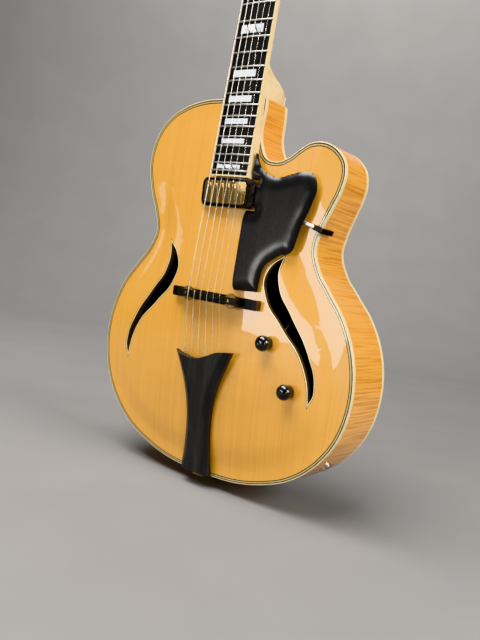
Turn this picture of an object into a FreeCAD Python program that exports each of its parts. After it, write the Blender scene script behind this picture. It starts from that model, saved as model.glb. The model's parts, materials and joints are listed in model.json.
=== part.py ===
# Archtop guitar with one cutaway, in millimetres.
# +Z runs up the neck, +X points to the treble side and the front of the body faces -Y.
# The origin is on the centre line, at the tail end of the rim, half way through its depth there.
# A "rise" is a height in front of the flat rim plane of the top; a "depth" lies behind that plane.
import FreeCAD, Part
import math
import os

# Body outline, seen from the front
body_length = 486.0
lower_bout_half = 218.2
lower_bout_z = body_length * 0.319
waist_half = 134.8
waist_z = body_length * 0.6564
upper_bout_half = 161.6
upper_bout_z = body_length - 81.0
shoulder_end_half = 41.0
cutaway_wall_x = 31.2
cutaway_wall_lean = 2.3
cutaway_floor = (60.0, body_length - 72.7)
horn_top = (118.7, body_length - 48.8)
horn_side = (160.4, body_length - 85.0)

# The saddle's height on the body; the neck, the pickup and all fittings are placed from it
saddle_to_joint = 245.4
saddle_z = body_length - saddle_to_joint

# Body depth: level behind the lower bout, then tapering towards the neck
tail_depth = 76.5
taper_start_z = body_length - 251.0
taper_angle = 7.6
taper_blend_radius = 900.0
side_thickness = 3.0
rim_strip_levels = (0.08, 0.26, 0.46, 0.64, 0.82)
rim_strip_breaks = (-0.5, 0.0, 0.5)

# Plates and their arch
plate_thickness = 5.5
top_arch_height = 15.0
back_arch_height = 14.0
arch_fullness = 1.35
arch_edge_flat = 6.6
arch_recurve_width = 42.0
film_step = 6.0
film_margin = 12.0
film_sweeps = 220
film_overrelaxation = 1.9

# Edge trim
binding_width = 1.4
back_binding_width = 1.8
black_line_width = 1.2
cream_line_width = 1.6
lining_width = 6.0
lining_height = 14.0
wood_play = 0.3

# Sound holes, treble side, as inner and outer edge points between two sharp ends, up from the saddle
hole_tip = (96.0, 61.9)
hole_foot = (162.6, -104.6)
hole_inner_edge = [(83.0, 51.4), (74.6, 32.4), (82.0, 9.9), (110.0, -20.1), (143.0, -53.1), (158.0, -82.6)]
hole_outer_edge = [(92.8, 44.4), (98.5, 23.4), (120.0, -4.1), (150.0, -42.6), (166.6, -78.6), (167.2, -94.6)]
hole_binding_width = 1.5
hole_line_width = 0.5

# Inside the body
neck_block_length = 52.0
tail_block_half = 34.0
tail_block_thickness = 18.0
tone_bar_x = 52.0
tone_bar_width = 8.0
tone_bar_depth = 11.0
tone_bar_span = (saddle_z - 125.6, saddle_z + 154.4)

# Neck and fingerboard; distances along the strings are counted from the saddle
scale_length = 628.65
fret_count = 24
board_rise_at_saddle = 28.7
neck_angle = 4.28
nut_board_half = 22.5
twelfth_board_half = 27.8
board_thickness = 6.5
board_radius = 305.0
board_end = 150.3
board_binding_width = 1.6
neck_depth_at_nut = 15.0
neck_depth_at_heel = 18.0
joint_overlap = 4.0
heel_depth = 40.5
# Heel outlines, front to back: depth behind the rim's front, half width, straight side, whole reach.
heel_outlines = (
    (-18.0, 31.0, 62.0, 78.0),
    (-4.0, 30.5, 38.0, 56.0),
    (8.0, 29.8, 28.5, 44.0),
    (20.0, 29.0, 24.0, 36.0),
    (32.0, 28.0, 19.0, 29.0),
    (heel_depth, 26.0, 12.0, 21.0),
)
heel_cap_thickness = 2.5
fret_width = 2.2
fret_height = 1.05
inlay_share = 0.63
inlay_length_share = 0.52
inlay_bass_shift = 2.5
inlay_depth = 1.4
inlay_slit = 0.9
inlay_slant = 3.0
inlay_frets = (1, 3, 5, 7, 9, 12, 15, 17, 19, 21, 24)
split_inlay_frets = (12, 24)
truss_rod_radius = 3.0
truss_rod_depth = 13.0
truss_rod_start = 4.0
truss_rod_nut_radius = 4.0
truss_rod_nut_length = 14.0
rod_channel_play = 0.3

# Nut and headstock
nut_length = 5.0
nut_string_height = 1.5
head_angle = 14.0
head_drop = 3.0
head_length = 166.0
head_thickness = 14.0
veneer_thickness = 2.0
head_neck_half = 23.0
head_wide_half = 40.0
head_wide_at = 34.0
head_crown_half = 34.0
head_crown_at = 150.0
cover_length = 42.0
cover_half = 11.0
cover_thickness = 2.2

# Tuners, three a side
tuner_stations = (46.0, 84.0, 122.0)
tuner_post_x = (28.0, 27.0, 26.0)
post_radius = 3.0
post_rise = 12.0
bushing_radius = 4.9
bushing_flange_radius = 7.0
bushing_flange = 1.6
housing_half_width = 9.0
housing_length = 24.0
housing_depth = 13.0
gear_radius = 4.6
gear_thickness = 5.0
worm_radius = 2.2
worm_gap = 0.4
button_length = 17.0
button_half_width = 9.0
button_half_thickness = 3.6
button_stem = 8.0
running_clearance = 0.05

# Strings, bass to treble
string_radii = (0.66, 0.53, 0.41, 0.30, 0.20, 0.15)
nut_string_span = 36.0
saddle_string_span = 54.5
saddle_string_rise = 33.8
anchor_string_span = 60.5
anchor_string_rise = 24.0
string_bend_radius = 6.0
fine_wire_sides = 8
string_clearance = 0.15
post_wrap_gap = 0.3
wrap_turn = 270.0
ball_radius = 1.9
ball_length = 4.0

# Bridge
bridge_base_half = 72.5
bridge_base_shift = 3.5
bridge_base_width = 13.0
bridge_base_rise = 20.4
bridge_foot_half = 20.0
bridge_arch_height = 4.0
bridge_post_x = 37.0
bridge_post_radius = 2.0
bridge_post_sink = 5.0
bridge_post_reach = 4.0
thumbwheel_radius = 9.5
thumbwheel_thickness = 2.6
thumbwheel_notches = 24
thumbwheel_notch_radius = 0.8
wheel_drop = 1.9
wheel_seat_gap = 0.05
saddle_half = 51.0
saddle_width = 9.0
saddle_ridge_width = 3.2
saddle_ridge_height = 3.6
saddle_steps = (-1.6, -0.2, 1.2, -1.2, 0.2, 1.6)

# Tailpiece and its hanger
tailpiece_tail_rise = 4.0
tailpiece_head_rise = 20.0
tailpiece_edge = 5.0
tailpiece_bevel_rise = 6.0
tailpiece_bevel_width = 9.0
tailpiece_start_z = 3.0
tailpiece_lean = -1.5
tailpiece_to_saddle = 62.6
tailpiece_length = saddle_z - tailpiece_to_saddle
tailpiece_stations = [
    (0.0, 26.0), (0.18, 21.9), (0.348, 20.2), (0.517, 21.9), (0.663, 27.5), (0.798, 36.5), (1.0, 53.5),
]
tailpiece_crest = [
    (-54.0, -73.3), (-40.0, -78.4), (-24.0, -81.6), (-6.0, -81.0),
    (12.0, -74.6), (30.0, -66.8), (52.0, -63.4),
]
anchor_bore_radius = 2.2
anchor_bore_depth = 14.0
anchor_bore_lead = 6.0
hanger_half = 8.0
hanger_thickness = 1.6
hanger_span = 34.0
end_pin_radius = 4.0
end_pin_shank = 16.0
end_pin_groove = 9.0
end_pin_flange_radius = 7.0
end_pin_flange = 3.5

# Pickup
pickup_z = saddle_z + 130.4
ring_half = 43.0
ring_width = 35.0
ring_rise = 14.5
ring_corner = 8.0
ring_screw_inset = 4.4
cover_half_length = 34.0
cover_width = 26.5
cover_rise = 20.0
cover_depth = 18.0
cover_wall = 0.6
cover_corner = 4.5
pickup_play = 0.6
pole_spacing = 10.4
pole_offset = 7.5
pole_radius = 2.5
pole_proud = 1.1
height_screw_x = 39.0
height_screw_radius = 1.25
height_screw_head = 2.3
height_screw_length = 18.0
base_plate_thickness = 1.5

# Pickguard and bracket
guard_rise_low = 20.5
guard_low_z = saddle_z + 14.4
guard_slope = 4.0
guard_thickness = 4.5
guard_left = [(33.6, 0.0), (31.8, 4.0), (30.2, 97.0), (31.8, 134.0), (34.2, 166.0)]
guard_right = [
    (40.3, 153.5), (53.8, 143.3), (72.0, 139.6), (89.0, 143.8), (106.5, 147.6),
    (121.8, 145.2), (129.2, 132.9), (126.0, 109.6), (117.5, 84.3), (114.6, 68.6),
    (111.8, 57.7), (89.7, 46.8), (73.8, 32.8), (70.8, 15.0), (70.4, 2.5),
]
guard_ring_gap = 1.0
bracket_inner = (100.0, saddle_z + 108.9)
bracket_edge = (139.0, saddle_z + 98.8)
bracket_rod_radius = 2.5
clamp_half = 3.0
clamp_thickness = 4.4
clamp_leg = 20.0
clamp_inset = 9.0

# Controls and output
knob_places = {"volume": (95.0, saddle_z - 42.6), "tone": (135.0, saddle_z - 95.1)}
knob_radius = 10.2
knob_height = 17.0
knob_waist_radius = 8.6
knob_lift = 1.8
pot_radius = 12.0
pot_depth = 10.0
pot_bushing_radius = 4.6
pot_shaft_radius = 3.0
pot_nut_radius = 6.5
pot_nut_height = 2.2
jack_place = (177.0, 55.5)
jack_bore_radius = 3.25
jack_sleeve_radius = 4.7
jack_length = 26.0
jack_flange_radius = 8.0
jack_flange = 2.6
lead_radius = 1.6

# Small wood screws
screw_radius = 1.1
screw_length = 9.0
screw_head_radius = 2.3
screw_head = 1.3

front_y = -tail_depth / 2
back_y = tail_depth / 2
purfling_inset = binding_width + 2 * black_line_width + cream_line_width
body_joint_z = body_length
FAR = 400.0
ROUND_JOIN = 0
TANGENT_JOIN = 1
SHARP_JOIN = 2


def vec(x, y, z):
    return FreeCAD.Vector(x, y, z)


def rise_y(rise):
    """The y of a point that stands this high in front of the rim plane."""
    return front_y - rise


# Outlines made of tangent arcs

def line(a, b):
    return Part.LineSegment(a, b).toShape()


def arc(a, middle, b):
    return Part.Arc(a, middle, b).toShape()


def arc_from_tangent(start, tangent, end):
    """An arc, or a line, that leaves start along tangent and ends at end; all are (x, z) pairs."""
    chord = (end[0] - start[0], end[1] - start[1])
    length = math.hypot(*chord)
    along = (chord[0] / length, chord[1] / length)
    cosine = tangent[0] * along[0] + tangent[1] * along[1]
    side = (tangent[0] - cosine * along[0], tangent[1] - cosine * along[1])
    sine = math.hypot(*side)
    a = vec(start[0], 0, start[1])
    b = vec(end[0], 0, end[1])
    if sine < 1e-5:
        return line(a, b)
    sagitta = length / 2 * math.tan(math.atan2(sine, cosine) / 2)
    middle = vec(
        (start[0] + end[0]) / 2 + side[0] / sine * sagitta,
        0,
        (start[1] + end[1]) / 2 + side[1] / sine * sagitta,
    )
    return arc(a, middle, b)


def biarc(start, start_tangent, end, end_tangent):
    """Two arcs that join start to end and keep both tangents."""
    v = (end[0] - start[0], end[1] - start[1])
    t = (start_tangent[0] + end_tangent[0], start_tangent[1] + end_tangent[1])
    v_t = v[0] * t[0] + v[1] * t[1]
    v_v = v[0] ** 2 + v[1] ** 2
    turn = 1 - start_tangent[0] * end_tangent[0] - start_tangent[1] * end_tangent[1]
    if turn < 1e-6:
        reach = v_v / (2 * v_t)
    else:
        reach = (math.sqrt(v_t ** 2 + 2 * turn * v_v) - v_t) / (2 * turn)
    first = (start[0] + reach * start_tangent[0], start[1] + reach * start_tangent[1])
    second = (end[0] - reach * end_tangent[0], end[1] - reach * end_tangent[1])
    joint = ((first[0] + second[0]) / 2, (first[1] + second[1]) / 2)
    span = math.hypot(second[0] - first[0], second[1] - first[1])
    joint_tangent = ((second[0] - first[0]) / span, (second[1] - first[1]) / span)
    return [arc_from_tangent(start, start_tangent, joint), arc_from_tangent(joint, joint_tangent, end)]


def unit(dx, dz):
    length = math.hypot(dx, dz)
    return (dx / length, dz / length)


def tangents_through(points, start_tangent, end_tangent):
    """The tangent at each point, that of the circle through it and its two neighbours."""
    tangents = []
    for i, point in enumerate(points):
        if i == 0:
            tangents.append(start_tangent or unit(points[1][0] - point[0], points[1][1] - point[1]))
            continue
        if i == len(points) - 1:
            before = points[i - 1]
            tangents.append(end_tangent or unit(point[0] - before[0], point[1] - before[1]))
            continue
        before = points[i - 1]
        after = points[i + 1]
        back = math.hypot(point[0] - before[0], point[1] - before[1])
        ahead = math.hypot(after[0] - point[0], after[1] - point[1])
        one = unit(point[0] - before[0], point[1] - before[1])
        two = unit(after[0] - point[0], after[1] - point[1])
        tangents.append(unit(one[0] * ahead + two[0] * back, one[1] * ahead + two[1] * back))
    return tangents


def curve_through(points, start_tangent=None, end_tangent=None):
    """Edges of a smooth line of arcs through the points."""
    tangents = tangents_through(points, start_tangent, end_tangent)
    edges = []
    for i in range(len(points) - 1):
        edges += biarc(points[i], tangents[i], points[i + 1], tangents[i + 1])
    return edges


def straight(start, end):
    return line(vec(start[0], 0, start[1]), vec(end[0], 0, end[1]))


def closed_wire(edges):
    return Part.Wire(Part.__sortEdges__(edges))


def between(low, high, share):
    return low + (high - low) * share


def prism(wire, y_front, y_back):
    """A solid with this outline between two y levels."""
    face = Part.Face(wire)
    face.translate(vec(0, y_front, 0))
    return face.extrude(vec(0, y_back - y_front, 0))


def ring(outer, inner, y_front, y_back):
    return prism(outer, y_front, y_back).cut(prism(inner, y_front - 1, y_back + 1))


def block(x0, x1, y0, y1, z0, z1):
    return Part.makeBox(x1 - x0, y1 - y0, z1 - z0, vec(x0, y0, z0))


def rod(radius, start, end):
    return Part.makeCylinder(radius, (end - start).Length, start, end - start)


def rounded_rectangle(half_x, half_z, centre_z, corner):
    """A closed wire round the centre line, with round corners."""
    x = half_x
    z = half_z
    c = corner
    sides = [((-x + c, -z), (x - c, -z)), ((x, -z + c), (x, z - c))]
    sides += [((x - c, z), (-x + c, z)), ((-x, z - c), (-x, -z + c))]
    headings = [(1, 0), (0, 1), (-1, 0), (0, -1)]
    edges = []
    for i, (start, end) in enumerate(sides):
        edges.append(straight((start[0], start[1] + centre_z), (end[0], end[1] + centre_z)))
        onward = sides[(i + 1) % len(sides)][0]
        arc_start = (end[0], end[1] + centre_z)
        arc_end = (onward[0], onward[1] + centre_z)
        edges.append(arc_from_tangent(arc_start, headings[i], arc_end))
    return closed_wire(edges)


def group(solids):
    return Part.makeCompound(solids)


def lower_half_points(side):
    """From the waist down to the tail on one side."""
    upper = [(0.0, 1.0), (0.125, 0.838), (0.341, 0.712), (0.644, 0.538), (0.84, 0.3646), (1.0, 0.0)]
    lower = [(0.946, 0.6226), (0.848, 0.4116), (0.6935, 0.223), (0.472, 0.0865)]
    points = []
    for across, up in upper:
        x = between(waist_half, lower_bout_half, across)
        points.append((side * x, between(lower_bout_z, waist_z, up)))
    for across, up in lower:
        points.append((side * lower_bout_half * across, lower_bout_z * up))
    return points


def bass_shoulder_points():
    """From just above the waist up to the neck on the bass side."""
    rising = [(0.225, 0.24), (0.735, 0.6), (1.0, 1.0)]
    falling = [(0.97, 0.27), (0.87, 0.5475), (0.735, 0.735), (0.5, 0.9), (0.233, 0.985), (0.0, 1.0)]
    points = []
    for across, up in rising:
        points.append((-between(waist_half, upper_bout_half, across), between(waist_z, upper_bout_z, up)))
    for across, up in falling:
        x = between(shoulder_end_half, upper_bout_half, across)
        points.append((-x, between(upper_bout_z, body_length, up)))
    return points


def cutaway_points():
    """From the neck joint down the cutaway and round the horn to just above the waist."""
    wall_foot = (cutaway_wall_x + cutaway_wall_lean, cutaway_floor[1] + 17.0)
    floor_x, floor_z = cutaway_floor
    top_x, top_z = horn_top
    points = [(cutaway_wall_x, body_length), wall_foot]
    points += [(floor_x - 19.0, floor_z + 5.0), cutaway_floor]
    for across, up in [(0.32, 0.25), (0.54, 0.62), (0.77, 0.92)]:
        points.append((between(floor_x, top_x, across), between(floor_z, top_z, up)))
    points.append(horn_top)
    side_x, side_z = horn_side
    for across, up in [(0.345, 0.935), (0.717, 0.69), (0.93, 0.395)]:
        points.append((between(top_x, side_x, across), between(side_z, top_z, up)))
    points.append(horn_side)
    for across, up in [(0.885, 0.8), (0.563, 0.555), (0.19, 0.272)]:
        points.append((between(waist_half, side_x, across), between(waist_z, side_z, up)))
    return points


def make_outline():
    chain = cutaway_points() + lower_half_points(1) + [(0.0, 0.0)]
    chain += list(reversed(lower_half_points(-1))) + bass_shoulder_points()
    edges = curve_through(chain, (0.04, -1.0), (1.0, 0.0))
    edges.append(straight(chain[-1], chain[0]))
    return closed_wire(edges)


outline = make_outline()


def inset(distance):
    """The body outline moved inwards."""
    return outline.makeOffset2D(-distance, TANGENT_JOIN) if distance else outline


# Arch of the plates

def fence_points(wire, spacing):
    return [(p.x, p.z) for p in wire.discretize(Distance=spacing)]


def is_inside(fence, x, z):
    inside = False
    for i, (x2, z2) in enumerate(fence):
        x1, z1 = fence[i - 1]
        if (z1 > z) != (z2 > z) and x < (x2 - x1) * (z - z1) / (z2 - z1) + x1:
            inside = not inside
    return inside


def distance_to(fence, x, z):
    nearest = FAR
    for i, (x2, z2) in enumerate(fence):
        x1, z1 = fence[i - 1]
        dx = x2 - x1
        dz = z2 - z1
        square = dx * dx + dz * dz
        share = ((x - x1) * dx + (z - z1) * dz) / square if square else 0.0
        share = min(1.0, max(0.0, share))
        nearest = min(nearest, math.hypot(x - x1 - share * dx, z - z1 - share * dz))
    return nearest


def grid_line(low, high):
    count = int(math.ceil((high - low) / (2 * film_step))) * 2
    return [low + film_step * i for i in range(count + 1)]


def soap_film(wire):
    """Heights, up to 1, of an evenly blown film stretched over the outline, on a grid."""
    fence = fence_points(wire, film_step)
    reach = lower_bout_half + 2 * film_margin
    xs = grid_line(-reach, reach)
    zs = grid_line(-2 * film_margin, body_length + 2 * film_margin)
    film = [[0.0] * len(zs) for _ in xs]
    cells = [(i, j) for i, x in enumerate(xs) for j, z in enumerate(zs) if is_inside(fence, x, z)]
    for _ in range(film_sweeps):
        for i, j in cells:
            around = film[i - 1][j] + film[i + 1][j] + film[i][j - 1] + film[i][j + 1]
            film[i][j] += film_overrelaxation * ((around + 1.0) / 4 - film[i][j])
    highest = max(max(row) for row in film)
    return xs, zs, [[h / highest for h in row] for row in film]


film_xs, film_zs, film_heights = soap_film(outline.makeOffset2D(film_margin, ROUND_JOIN))
edge_fence = fence_points(inset(arch_edge_flat), film_step / 2)


def arch_share(i, j):
    """Height of the arch at a grid point, as a share of its full height, flat along the rim."""
    x = film_xs[i]
    z = film_zs[j]
    if not is_inside(edge_fence, x, z):
        return 0.0
    ramp = min(1.0, distance_to(edge_fence, x, z) / arch_recurve_width)
    return film_heights[i][j] ** arch_fullness * ramp * ramp * (3 - 2 * ramp)


arch_shares = [[arch_share(i, j) for j in range(0, len(film_zs), 2)] for i in range(0, len(film_xs), 2)]
arch_peak = max(max(row) for row in arch_shares)


def arch_at(x, z):
    """The top's rise at a point, between grid points."""
    step = 2 * film_step
    i = min(len(arch_shares) - 2, max(0, int((x - film_xs[0]) / step)))
    j = min(len(arch_shares[0]) - 2, max(0, int((z - film_zs[0]) / step)))
    u = (x - film_xs[0]) / step - i
    w = (z - film_zs[0]) / step - j
    low = between(arch_shares[i][j], arch_shares[i][j + 1], w)
    high = between(arch_shares[i + 1][j], arch_shares[i + 1][j + 1], w)
    return top_arch_height / arch_peak * between(low, high, u)


taper_tangent = taper_blend_radius * math.tan(math.radians(taper_angle) / 2)
blend_start_z = taper_start_z - taper_tangent
blend_end_z = taper_start_z + taper_tangent * math.cos(math.radians(taper_angle))


def back_edge_y(z):
    """The y of the back edge of the rim at this height."""
    if z < blend_start_z:
        return back_y
    if z < blend_end_z:
        return back_y - taper_blend_radius + math.sqrt(taper_blend_radius ** 2 - (z - blend_start_z) ** 2)
    return back_y - (z - taper_start_z) * math.tan(math.radians(taper_angle))


def arch_face(level, height):
    """A smooth face over the whole grid; level gives the rim's y and height is signed along y."""
    rows = []
    for i, row in enumerate(arch_shares):
        x = film_xs[2 * i]
        line = []
        for j, share in enumerate(row):
            z = film_zs[2 * j]
            line.append(vec(x, level(z) + height / arch_peak * share, z))
        rows.append(line)
    surface = Part.BSplineSurface()
    surface.interpolate(rows)
    return surface.toShape()


top_face = arch_face(lambda z: front_y, -top_arch_height)
back_face = arch_face(back_edge_y, back_arch_height)
top_slab = top_face.extrude(vec(0, plate_thickness, 0))
back_slab = back_face.extrude(vec(0, -plate_thickness, 0))
behind_top = top_face.extrude(vec(0, tail_depth, 0))


def depth_slab(front_offset, back_offset):
    """Everything between a plane behind the front rim and the tapered back rim moved forward."""
    y0 = front_y + front_offset
    shift = -back_offset
    low = -FAR
    high = body_length + FAR
    turn_y = back_edge_y(blend_end_z) + shift
    middle_z = (blend_start_z + blend_end_z) / 2
    high_y = back_y + shift - (high - taper_start_z) * math.tan(math.radians(taper_angle))
    corners = [vec(-FAR, y0, high), vec(-FAR, y0, low), vec(-FAR, back_y + shift, low)]
    corners.append(vec(-FAR, back_y + shift, blend_start_z))
    edges = [line(corners[i], corners[i + 1]) for i in range(3)]
    bend_middle = vec(-FAR, back_edge_y(middle_z) + shift, middle_z)
    bend_end = vec(-FAR, turn_y, blend_end_z)
    edges.append(arc(corners[3], bend_middle, bend_end))
    edges.append(line(bend_end, vec(-FAR, high_y, high)))
    edges.append(line(vec(-FAR, high_y, high), corners[0]))
    return Part.Face(closed_wire(edges)).extrude(vec(2 * FAR, 0, 0))


# Frames of the neck, the headstock and the pickguard

def onto_neck(shape):
    """From the neck's own frame: origin on the board surface over the saddle, +Z to the nut."""
    shape.rotate(vec(0, 0, 0), vec(1, 0, 0), -neck_angle)
    shape.translate(vec(0, rise_y(board_rise_at_saddle), saddle_z))
    return shape


def neck_point(x, y, s):
    a = math.radians(neck_angle)
    turned_y = y * math.cos(a) + s * math.sin(a)
    turned_z = -y * math.sin(a) + s * math.cos(a)
    return vec(x, rise_y(board_rise_at_saddle) + turned_y, saddle_z + turned_z)


def onto_head(shape):
    """From the headstock's own frame: origin behind the nut on the face, +Z to the crown."""
    shape.rotate(vec(0, 0, 0), vec(1, 0, 0), -head_angle)
    shape.translate(vec(0, head_drop, scale_length + nut_length))
    return onto_neck(shape)


def head_point(x, y, h):
    a = math.radians(head_angle)
    return neck_point(
        x,
        head_drop + y * math.cos(a) + h * math.sin(a),
        scale_length + nut_length - y * math.sin(a) + h * math.cos(a),
    )


def onto_guard(shape):
    shape.rotate(vec(0, 0, 0), vec(1, 0, 0), -guard_slope)
    shape.translate(vec(0, rise_y(guard_rise_low), guard_low_z))
    return shape


def board_half(s):
    """Half the fingerboard's width at a distance from the saddle."""
    return nut_board_half + (twelfth_board_half - nut_board_half) * (scale_length - s) / (scale_length / 2)


def fret_distance(number):
    return scale_length * 2 ** (-number / 12)


def sweep(edges, radius, sides=0):
    """A wire along a path: round, or with a number of flat sides."""
    path = Part.Wire(edges)
    start = edges[0].valueAt(edges[0].FirstParameter)
    heading = edges[0].tangentAt(edges[0].FirstParameter)
    circle = Part.makeCircle(radius, start, heading)
    if not sides:
        return path.makePipeShell([Part.Wire(circle)], True, False)
    corners = circle.discretize(sides + 1)
    return path.makePipeShell([Part.makePolygon(corners)], True, False)


# Sound holes

def hole_wire(side):
    inner = [hole_tip] + hole_inner_edge + [hole_foot]
    outer = [hole_foot] + list(reversed(hole_outer_edge)) + [hole_tip]
    edges = curve_through([(side * x, saddle_z + z) for x, z in inner])
    edges += curve_through([(side * x, saddle_z + z) for x, z in outer])
    return closed_wire(edges)


hole_wires = [hole_wire(-1), hole_wire(1)]
deep_front = rise_y(2 * top_arch_height)
deep_back = front_y + 2 * top_arch_height


def hole_prism(wire, grown):
    grown_wire = wire.makeOffset2D(grown, SHARP_JOIN) if grown else wire
    return prism(grown_wire, deep_front, deep_back)


def hole_trim(inner, outer):
    """Rings between two offsets of both sound holes, cut to the arch of the top."""
    rings = []
    for wire in hole_wires:
        band = hole_prism(wire, outer).cut(hole_prism(wire, inner))
        rings += top_slab.common(band).Solids
    return rings


# Body pieces

def pickup_opening():
    half = height_screw_x + height_screw_head
    half_z = cover_width / 2 + pickup_play
    return block(-half, half, deep_front, deep_back, pickup_z - half_z, pickup_z + half_z)


def screw_places():
    """Start and direction of every small wood screw, from the underside of its head inwards."""
    return ring_screw_places() + cover_screw_places() + housing_screw_places()


def screw_holes():
    holes = []
    for seat, inward in screw_places():
        holes.append(Part.makeCylinder(screw_radius, screw_length, seat, inward))
    return group(holes)


def make_top_plate():
    plate = top_slab.common(prism(inset(purfling_inset), deep_front, deep_back))
    grown = hole_binding_width + hole_line_width
    for wire in hole_wires:
        plate = plate.cut(hole_prism(wire, grown))
    plate = plate.cut(pickup_opening())
    for x, z in knob_places.values():
        plate = plate.cut(rod(pot_bushing_radius, vec(x, deep_front, z), vec(x, deep_back, z)))
    return plate.cut(screw_holes())


def make_back_plate():
    outside = prism(inset(back_binding_width), -FAR / 4, FAR / 4)
    return back_slab.common(outside)


def jack_direction():
    """Outward normal of the rim at the output jack, and the point where it leaves the rim."""
    mark = Part.Vertex(vec(jack_place[0], 0, jack_place[1]))
    spot = outline.distToShape(mark)[1][0][0]
    inner = inset(side_thickness)
    inner_spot = inner.distToShape(Part.Vertex(spot))[1][0][0]
    return spot, (spot - inner_spot).normalize()


jack_spot, jack_out = jack_direction()


def make_rim():
    walls = ring(outline, inset(side_thickness), front_y, back_y)
    rim = walls.common(depth_slab(plate_thickness, plate_thickness))
    rim = rim.cut(rod(end_pin_radius, vec(0, 0, -1), vec(0, 0, 2 * side_thickness)))
    jack_reach = jack_out * jack_length
    jack_hole = rod(jack_sleeve_radius, jack_spot - jack_reach, jack_spot + jack_reach)
    return rim_strips(rim.cut(jack_hole))


def rim_strips(rim):
    """The bent strips that make up the rim, butted end to end."""
    xs = [-FAR] + [share * lower_bout_half for share in rim_strip_breaks] + [FAR]
    zs = [-FAR] + [share * body_length for share in rim_strip_levels] + [body_length + FAR]
    strips = []
    for x0, x1 in zip(xs, xs[1:]):
        for z0, z1 in zip(zs, zs[1:]):
            strips += rim.common(block(x0, x1, -FAR, FAR, z0, z1)).Solids
    return group(strips)


def body_core():
    return prism(inset(side_thickness), front_y, back_y).common(depth_slab(plate_thickness, plate_thickness))


def make_neck_block():
    chunk = block(-FAR, FAR, -FAR, FAR, body_joint_z - side_thickness - neck_block_length, body_joint_z)
    chunk = body_core().common(chunk)
    between_walls = block(-cutaway_wall_x, cutaway_wall_x, -FAR, FAR, 0, body_length)
    return chunk.common(between_walls).cut(top_slab).cut(back_slab)


def make_tail_block():
    chunk = block(-tail_block_half, tail_block_half, -FAR, FAR, 0, side_thickness + tail_block_thickness)
    chunk = body_core().common(chunk).cut(top_slab).cut(back_slab)
    return chunk.cut(rod(end_pin_radius, vec(0, 0, 0), vec(0, 0, side_thickness + end_pin_shank)))


def block_rooms():
    """Plain boxes round the neck block and the tail block, where the linings stop."""
    play = wood_play
    neck_z = body_joint_z - side_thickness - neck_block_length - play
    tail_z = side_thickness + tail_block_thickness + play
    neck_half = cutaway_wall_x + play
    neck_room = block(-neck_half, neck_half, -FAR, FAR, neck_z, body_length + FAR)
    tail_room = block(-tail_block_half - play, tail_block_half + play, -FAR, FAR, -FAR, tail_z)
    return [neck_room, tail_room]


def make_linings():
    band = ring(inset(side_thickness), inset(side_thickness + lining_width), front_y, back_y)
    under_top = front_y + plate_thickness
    front = band.common(block(-FAR, FAR, under_top, under_top + lining_height, -FAR, 2 * FAR))
    back = band.common(depth_slab(plate_thickness, plate_thickness))
    back = back.cut(depth_slab(-FAR, plate_thickness + lining_height))
    solids = []
    for strip in (front, back):
        for room in block_rooms():
            strip = strip.cut(room)
        solids += strip.Solids
    return group(solids)


def make_tone_bars():
    inner_face = top_face.copy()
    inner_face.translate(vec(0, plate_thickness, 0))
    layer = inner_face.extrude(vec(0, tone_bar_depth, 0))
    low, high = tone_bar_span
    bars = []
    for side in (-1, 1):
        x = side * tone_bar_x
        bar = block(x - tone_bar_width / 2, x + tone_bar_width / 2, deep_front, deep_back, low, high)
        bars += layer.common(bar).Solids
    return group(bars)


def make_top_trim():
    """Binding, black lines and cream line of the top, as flat rings from the outside in."""
    first = binding_width
    second = first + black_line_width
    third = second + cream_line_width
    y_low = front_y + plate_thickness
    binding = ring(outline, inset(first), front_y, y_low)
    outer_black = ring(inset(first), inset(second), front_y, y_low)
    cream = ring(inset(second), inset(third), front_y, y_low)
    inner_black = ring(inset(third), inset(purfling_inset), front_y, y_low)
    blacks = outer_black.Solids + inner_black.Solids
    blacks += hole_trim(hole_binding_width, hole_binding_width + hole_line_width)
    return binding, group(blacks), cream


def make_back_binding():
    band = ring(outline, inset(back_binding_width), front_y, back_y)
    return band.common(depth_slab(0, 0)).cut(depth_slab(-FAR, plate_thickness))


# Neck and fingerboard

def board_prism(trim, y_front, y_back, start, end):
    """A tapered board between two distances from the saddle, narrowed by trim on each side."""
    a = board_half(start) - trim
    b = board_half(end) - trim
    corners = [vec(-a, 0, start), vec(a, 0, start), vec(b, 0, end), vec(-b, 0, end), vec(-a, 0, start)]
    return prism(Part.makePolygon(corners), y_front, y_back)


def board_cylinder(grown):
    radius = board_radius + grown
    return Part.makeCylinder(radius, scale_length + nut_length, vec(0, board_radius, 0), vec(0, 0, 1))


def inlay_blocks():
    """Pearl blocks between frets, cut in three where the pattern is split."""
    blocks = []
    for number in inlay_frets:
        low = fret_distance(number)
        high = fret_distance(number - 1)
        middle = (low + high) / 2
        half_length = (high - low) * inlay_length_share / 2
        half_width = board_half(middle) * inlay_share
        left = -half_width - inlay_bass_shift
        right = half_width - inlay_bass_shift
        whole = block(left, right, -1, inlay_depth, middle - half_length, middle + half_length)
        if number not in split_inlay_frets:
            blocks.append(whole)
            continue
        for x in (between(left, right, 1 / 3), between(left, right, 2 / 3)):
            slit = block(
                x - inlay_slit / 2, x + inlay_slit / 2, -2, inlay_depth + 1, -half_length - 2, half_length + 2
            )
            slit.rotate(vec(x, 0, 0), vec(0, 1, 0), math.degrees(math.atan2(inlay_slant, half_length)))
            slit.translate(vec(0, 0, middle))
            whole = whole.cut(slit)
        blocks += whole.Solids
    return blocks


def make_fingerboard():
    whole = board_prism(0, 0, board_thickness, board_end, scale_length).common(board_cylinder(0))
    core_end = board_end + board_binding_width
    core = board_prism(board_binding_width, -1, board_thickness + 1, core_end, scale_length)
    wood = whole.common(core)
    binding = whole.cut(core)
    pearl = []
    for piece in inlay_blocks():
        pearl += wood.common(piece).Solids
    for piece in inlay_blocks():
        wood = wood.cut(piece)
    return onto_neck(wood), onto_neck(binding), onto_neck(group(pearl))


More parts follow.
